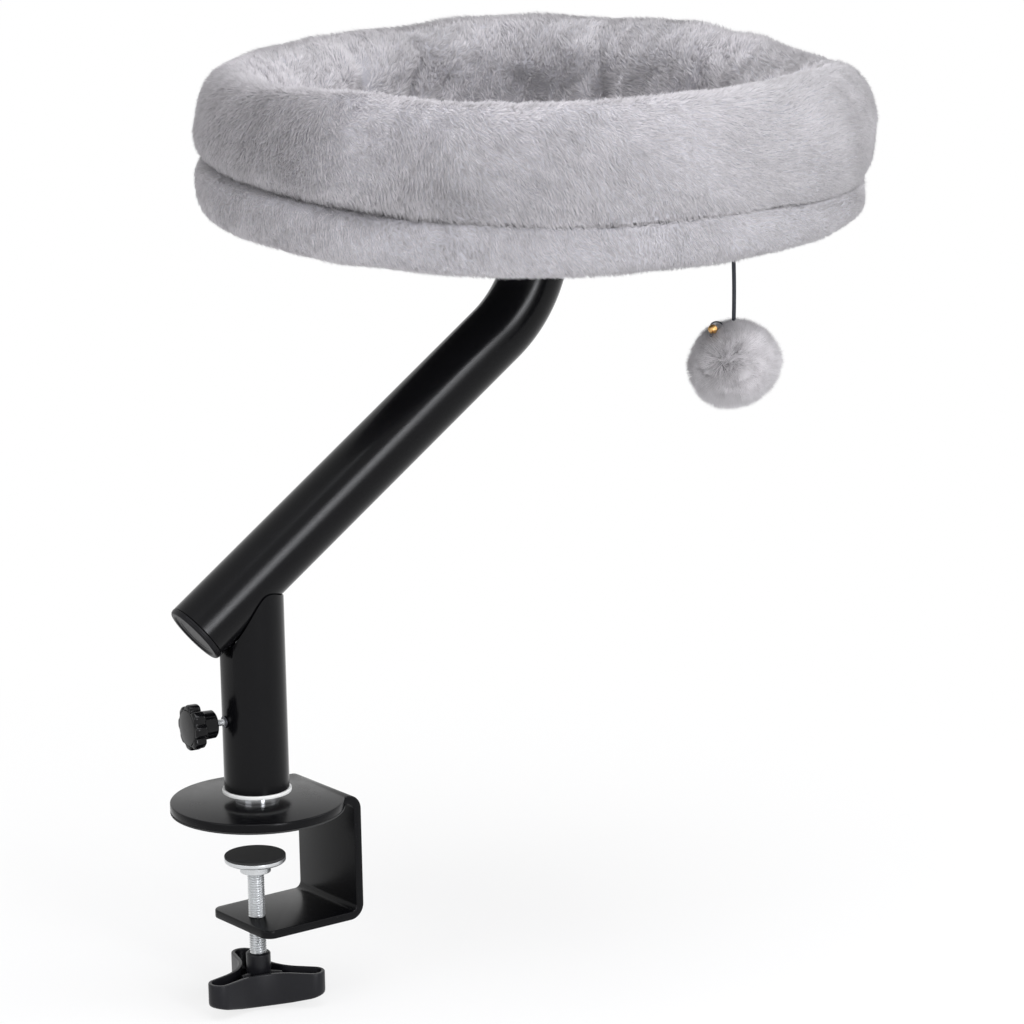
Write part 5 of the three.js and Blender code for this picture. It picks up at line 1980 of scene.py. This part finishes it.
    def build(self) -> None:
        """Makes the three cushions, lays their pile in sectors, and makes the cover under the board."""
        ring, bolster, seat = self.cushions()
        few = 1.0
        ridge = self.bolster_radius - self.inward_draw
        naps = (
            (
                "pile_bolster_outer", bolster, 3,
                Nap(58000, length=4.6, width=0.56, lift=28, wander=0.45, seed=11, clump=2.1),
                lambda p, n: polar(p)[0] > ridge,
            ),
            (
                "pile_bolster_inner", bolster, 3,
                Nap(50000, length=4.2, width=0.58, lift=32, wander=0.8, seed=23, clump=2.2),
                lambda p, n: (polar(p)[0] <= ridge) & (p[:, 2] > self.board_top + 3),
            ),
            (
                "pile_ring", ring, 2,
                Nap(56000, length=3.8, width=0.56, lift=24, wander=0.5, seed=37, clump=2.1),
                lambda p, n: polar(p)[0] > self.ring_radius - 14,
            ),
            (
                "pile_seat", seat, 1, Nap(44000, length=5.8, width=0.86, lift=28, wander=1.2, seed=41),
                lambda p, n: n[:, 2] > -0.3,
            ),
        )
        for name, piece, count, nap, share in naps:
            for number in range(count):

                def within(p: Array, n: Array) -> Array:
                    """Whether places are on this pile's part of the cushion and in its sector."""
                    return share(p, n) & (np.floor(np.mod(polar(p)[1] / TAU, 1) * count) == number)

                here = replace(nap, strands=int(nap.strands * few), seed=nap.seed + 2 * number)
                self.pile(f"{name}_{number + 1}", piece, here, within)
        self.under_cover()

    def under_cover(self) -> None:
        """Felt cover under the board, round the arm's flange."""
        inner, outer = Arm.flange / 2 + Arm.gap, self.board_radius - 1
        base, top = self.board_base - self.cover_thickness, self.board_base
        profile = [(inner, base), (outer, base), (outer, top), (inner, top), (inner, base)]
        surface = turned(profile, 160, 0.5).placed(self.place())
        piece_of("felt_cover", surface, FELT, Body.ARM, ["under_cover"])


# Toy


@dataclass
class Toy:
    """Hanging toy: anchor, braided cord, fur pompom and a round bell."""

    radius: float = 154.0
    bearing: float = -73.0
    turn: float = 45.0
    cover_base: float = Arm.board_base - PlushBed.cover_thickness
    anchor: float = 9.0
    anchor_height: float = 2.4
    anchor_gap: float = 0.3
    top: float = cover_base - anchor_height - anchor_gap
    length: float = 44.0
    cord: float = 2.3
    sway: float = 0.4
    pom_width: float = 50.0
    pom_height: float = 47.0
    pom_middle: float = 264.073
    bell: float = 5.4
    bell_share: Triple = (-0.49, -0.45, 0.74)
    loop_shift: Triple = (2.4, 4.4, 1.2)
    hair: float = 12.0
    core: float = 19.5
    parting: Triple = (-0.26, -0.91, 0.32)
    # The pompom's outline seen from in front: bearing from its right, degrees, and radius.
    outline: tuple[tuple[float, float], ...] = (
        (6, 28.3), (40, 26.6), (68, 26.0), (95, 25.2), (125, 25.4), (153, 25.6), (181, 27.4), (212, 28.2),
        (232, 28.8), (260, 26.9), (276, 26.2), (305, 25.2), (335, 26.6),
    )
    loop_reach: tuple[float, float] = (3.2, 2.1)
    loop_half: float = 0.42
    strands: int = 28000

    def place(self) -> Place:
        """The toy's own frame.

        Returns:
            The place, on the cord's axis.
        """
        b = radians(self.bearing)
        spot = Place(shift=(self.radius * cos(b), self.radius * sin(b), 0))
        return Arm().bed_place().after(spot).after(turn_z(self.bearing + self.turn))

    def route(self) -> Array:
        """The cord's line: straight down with one slight bow, a sine of its share of the way."""
        share = np.linspace(0, 1, 24)
        return np.stack([self.sway * np.sin(pi * share), 0 * share, self.top - self.length * share], 1)

    def cord_piece(self) -> Piece:
        """The braided cord: a tube with rounded ends and a map along and round it.

        Returns:
            The cord.
        """
        route, r, sides = self.route(), self.cord / 2, 20
        ease = np.array([0.0, 0.55, 0.85, 1.0])
        depth = np.array([[0.0], [0.25], [0.6], [1.15]]) * [0, 0, 1]
        path = np.concatenate([route[0] - depth, route[1:-1], route[-1] + depth[::-1]])
        radii = np.concatenate([ease * r, np.full(len(route) - 2, r), ease[::-1] * r])
        ahead = unit(np.gradient(path, axis=0))
        surface = swept(path, ahead, radii, sides, (1, 0, 0)).placed(self.place())
        mesh = bpy.data.meshes.new("braided_cord")
        mesh.from_pydata((surface.points * MM).tolist(), [], surface.faces)
        loops = np.empty(len(mesh.loops), np.int32)
        mesh.loops.foreach_get("vertex_index", loops)
        rows, columns = loops // sides, (loops % sides).astype(float)
        columns[(np.arange(len(loops)) % 4 >= 2) & (columns == 0)] = sides
        uv = np.stack([(self.top - path[rows][:, 2]) / self.length, columns / sides], 1)
        mesh.uv_layers.new(name="cord_map").data.foreach_set("uv", uv.reshape(-1).astype(np.float32))
        mesh.shade_smooth()
        return dress(add("braided_cord", mesh), BRAID, Body.CORD, ["toy_cord"])

    def bell_place(self) -> Place:
        """The bell's own frame.

        Returns:
            The place of its middle, on the pompom's surface.
        """
        toward = unit(np.asarray(self.bell_share))
        surface = toward * np.array([self.pom_width, self.pom_width, self.pom_height]) / 2
        spot = surface + toward * (self.bell / 2 + 0.9) + np.array([1.7, 2.4, self.pom_middle + 1.5])
        return self.place().after(Place(shift=tuple(spot)))

    def bell_surface(self) -> Surface:
        """Round bell: a rolled seam round its middle and two small sunk slots across its lower half.

        The radius is the ball's, plus a narrow ridge at the middle, less a groove along two planes
        below it.

        Returns:
            The surface.
        """
        r = self.bell / 2
        angle = np.linspace(0, pi, 40)[:, None]
        bearing = bearings(72)[None]
        x, y = np.sin(angle) * np.cos(bearing), np.sin(angle) * np.sin(bearing)
        z = np.cos(angle) + 0 * bearing
        slot = np.minimum(np.abs(x), np.abs(y)) * r
        groove = 0.9 * np.exp(-((slot / 0.36) ** 4)) * (z < -0.12)
        size = r * (1 + 0.07 * near(z / 0.08)) - groove
        return Surface.grid(np.stack([x * size, y * size, z * size], -1))

    def loop_surface(self) -> Surface:
        """The bell's small cord loop: an oval ring of round section.

        Returns:
            The loop's surface.
        """
        turn = bearings(40)[:, None]
        section = bearings(12)[None]
        wide, tall = (reach + self.loop_half * np.cos(section) for reach in self.loop_reach)
        rows = np.broadcast_arrays(wide * np.cos(turn), self.loop_half * np.sin(section), tall * np.sin(turn))
        return Surface.grid(np.stack(rows, -1), close_u=True)

    def outline_radius(self, way: Array) -> Array:
        """Radius of the pompom's outline by direction: a listed one at the sides, the mean in front.

        Args:
            way: unit directions.

        Returns:
            The radius in each direction.
        """
        bearing = np.degrees(np.arctan2(way[:, 2], way[:, 0]))
        at, radius = np.asarray(self.outline).T
        seen = np.interp(bearing, at, radius, period=360)
        return radius.mean() + (seen - radius.mean()) * np.hypot(way[:, 0], way[:, 2]) ** 2

    def pompom_hair(self) -> Piece:
        """The pompom's hair, swept over its core away from one parting.

        Hairs stand at even directions of the sphere. Each leans outwards and away from the parting, its tip
        on the outline's radius, with lighter and darker locks that run from the parting; the upper left is
        painted lighter, and the parting gets painted shade.

        Returns:
            The hair.
        """
        rng = np.random.default_rng(77)
        count = self.strands
        index = np.arange(count) + 0.5
        z = 1 - 2 * index / count
        spiral = index * pi * (1 + sqrt(5))
        flat = np.sqrt(1 - z**2)
        way = np.stack([flat * np.cos(spiral), flat * np.sin(spiral), z], 1)
        parting = unit(np.asarray(self.parting))
        facing = way @ parting
        away = unit(facing[:, None] * way - parting)
        swirl = np.stack([waves(way * 40, (34, 18), 80 + k) for k in range(3)], 1)
        close = near((1 - facing) / 0.16)
        spread = 0.5 - 0.4 * near((1 - facing) / 0.06)
        locks = (0.3 + 0.7 * close)[:, None] * cell_noise(way * 26, 3.6, 6)
        lean = 0.8 * way + 0.75 * locks + spread[:, None] * away + 0.24 * swirl
        lean = unit(lean + 0.12 * rng.normal(size=way.shape))
        reach = lean * (self.hair * (1 + 0.06 * rng.normal(size=count)))[:, None]
        size = self.outline_radius(way) * (1 + 0.018 * rng.normal(size=count))
        tips = unit(reach + way * self.core) * size[:, None]
        roots = tips - reach
        tips += 0.3 * cell_noise(way * 26, 2.2, 3) * 2.2
        side = unit(np.cross(parting, [0, 0, 1.0]))
        round_at = np.arctan2(way @ side, way @ np.cross(side, parting))
        lock_at = np.stack([round_at * 6 + 0.9 * swirl[:, 0], np.sqrt(1.001 - facing) * 2.4, 0 * z], 1)
        streaks, shift = cell_noise(lock_at, 1.0, 5)[:, :2].T
        sunk = 2.5 * close * np.clip(-streaks, 0, 1)
        tips += 3.2 * shift[:, None] * np.cross(way, away) - sunk[:, None] * way
        # Painted light on the upper left of the ball; the tone also falls a little towards the parting as
        # painted shade.
        lit = 0.3 * np.maximum(way @ [-0.62, -0.1, 0.78], 0) ** 2
        tone = 0.84 - 0.04 * facing + lit + 0.1 * rng.normal(size=count)
        # Random lighter and darker locks, their contrast stronger at the parting, and painted shade at the
        # parting itself.
        tone += 0.14 * cell_noise(way * 25, 3.4, 4)[:, 0] + (0.34 + 0.3 * close) * streaks
        tone += 0.06 * waves(way * 40, (60, 34), 95) - 0.36 * close
        chart = np.stack([np.mod(spiral / TAU, 1), (1 - z) / 2], 1)
        roots, tips = (self.middle().apply(points) for points in (roots, tips))
        tone, width = np.clip(tone, 0, 1), np.full(count, 0.66)
        mesh = strand_mesh("pile_pompom", roots, tips, width, tone, chart, (0.8, 0.16))
        return dress(add("pile_pompom", mesh), HAIR, Body.TOY)

    def middle(self) -> Place:
        """The pompom's own frame, at its middle."""
        return self.place().after(Place(shift=(0, 0, self.pom_middle)))

    def pompom_core(self) -> Piece:
        """The pompom's core: a lumpy ball in the hair's finish, painted dark as the shade under the hair,
        sunk and with more painted shade at the parting.

        Returns:
            The core.
        """
        parting = unit(np.asarray(self.parting))
        angle = np.linspace(0, pi, 40)[:, None] * np.ones(64)
        around = bearings(64)[None]
        lumps = 1 + 0.02 * np.sin(5 * angle) * np.sin(np.arange(64) * TAU / 16)
        level = np.cos(around) * parting[0] + np.sin(around) * parting[1]
        toward = np.sin(angle) * level + np.cos(angle) * parting[2]
        size = (self.core + 4) * lumps * (1 - 0.2 * near((1 - toward) / 0.12))
        core = ringed(np.sin(angle) * size, np.cos(angle) * size * self.pom_height / self.pom_width)
        body = piece_of("pompom_core", core.placed(self.middle()), HAIR, Body.TOY, ["pompom"], 180.0)
        toward = unit(self.middle().local(points_of(body.data))) @ parting
        # Painted shade: the core is dark all over, and darker still at the parting.
        put_tone(body.data, 0.36 - 0.36 * near((1 - toward) / 0.16))
        return body

    def build(self) -> None:
        """Makes the cord first, then the pieces on it and the anchor."""
        cord = self.cord_piece()
        core, hair = self.pompom_core(), self.pompom_hair()
        ball = self.bell_surface().placed(self.bell_place())
        bell = piece_of("round_bell", ball, GILT, Body.TOY, ["bell"], 50.0)
        ring = self.loop_surface().placed(self.bell_place().after(Place(shift=self.loop_shift)))
        loop = piece_of("bell_ring", ring, LOOP_CORD, Body.TOY, ["bell_loop"])
        redress("bell_bead", DARK_STEEL)
        r, base = self.anchor / 2, self.cover_base - self.anchor_height
        profile = [(0, base), (r - 1.2, base), (r, base + 1.2), (r, self.cover_base), (0, self.cover_base)]
        button = turned(profile, 64, 0.5).placed(self.place())
        piece_of("cord_anchor", button, KNOB_PLASTIC, Body.ARM, ["toy_anchor"])
        path = (self.place().apply(self.route()) * MM).tolist()


def main() -> None:
    """Builds the studio, then the part from its toy to its bed."""
    logging.basicConfig(level=logging.INFO, format="%(message)s")
    Studio().build()
    Toy().build()
    PlushBed().build()
    Clamp().build()
    ClampDrive().build()
    Arm().build()
    LockScrew().build()


if __name__ == "__main__":
    main()
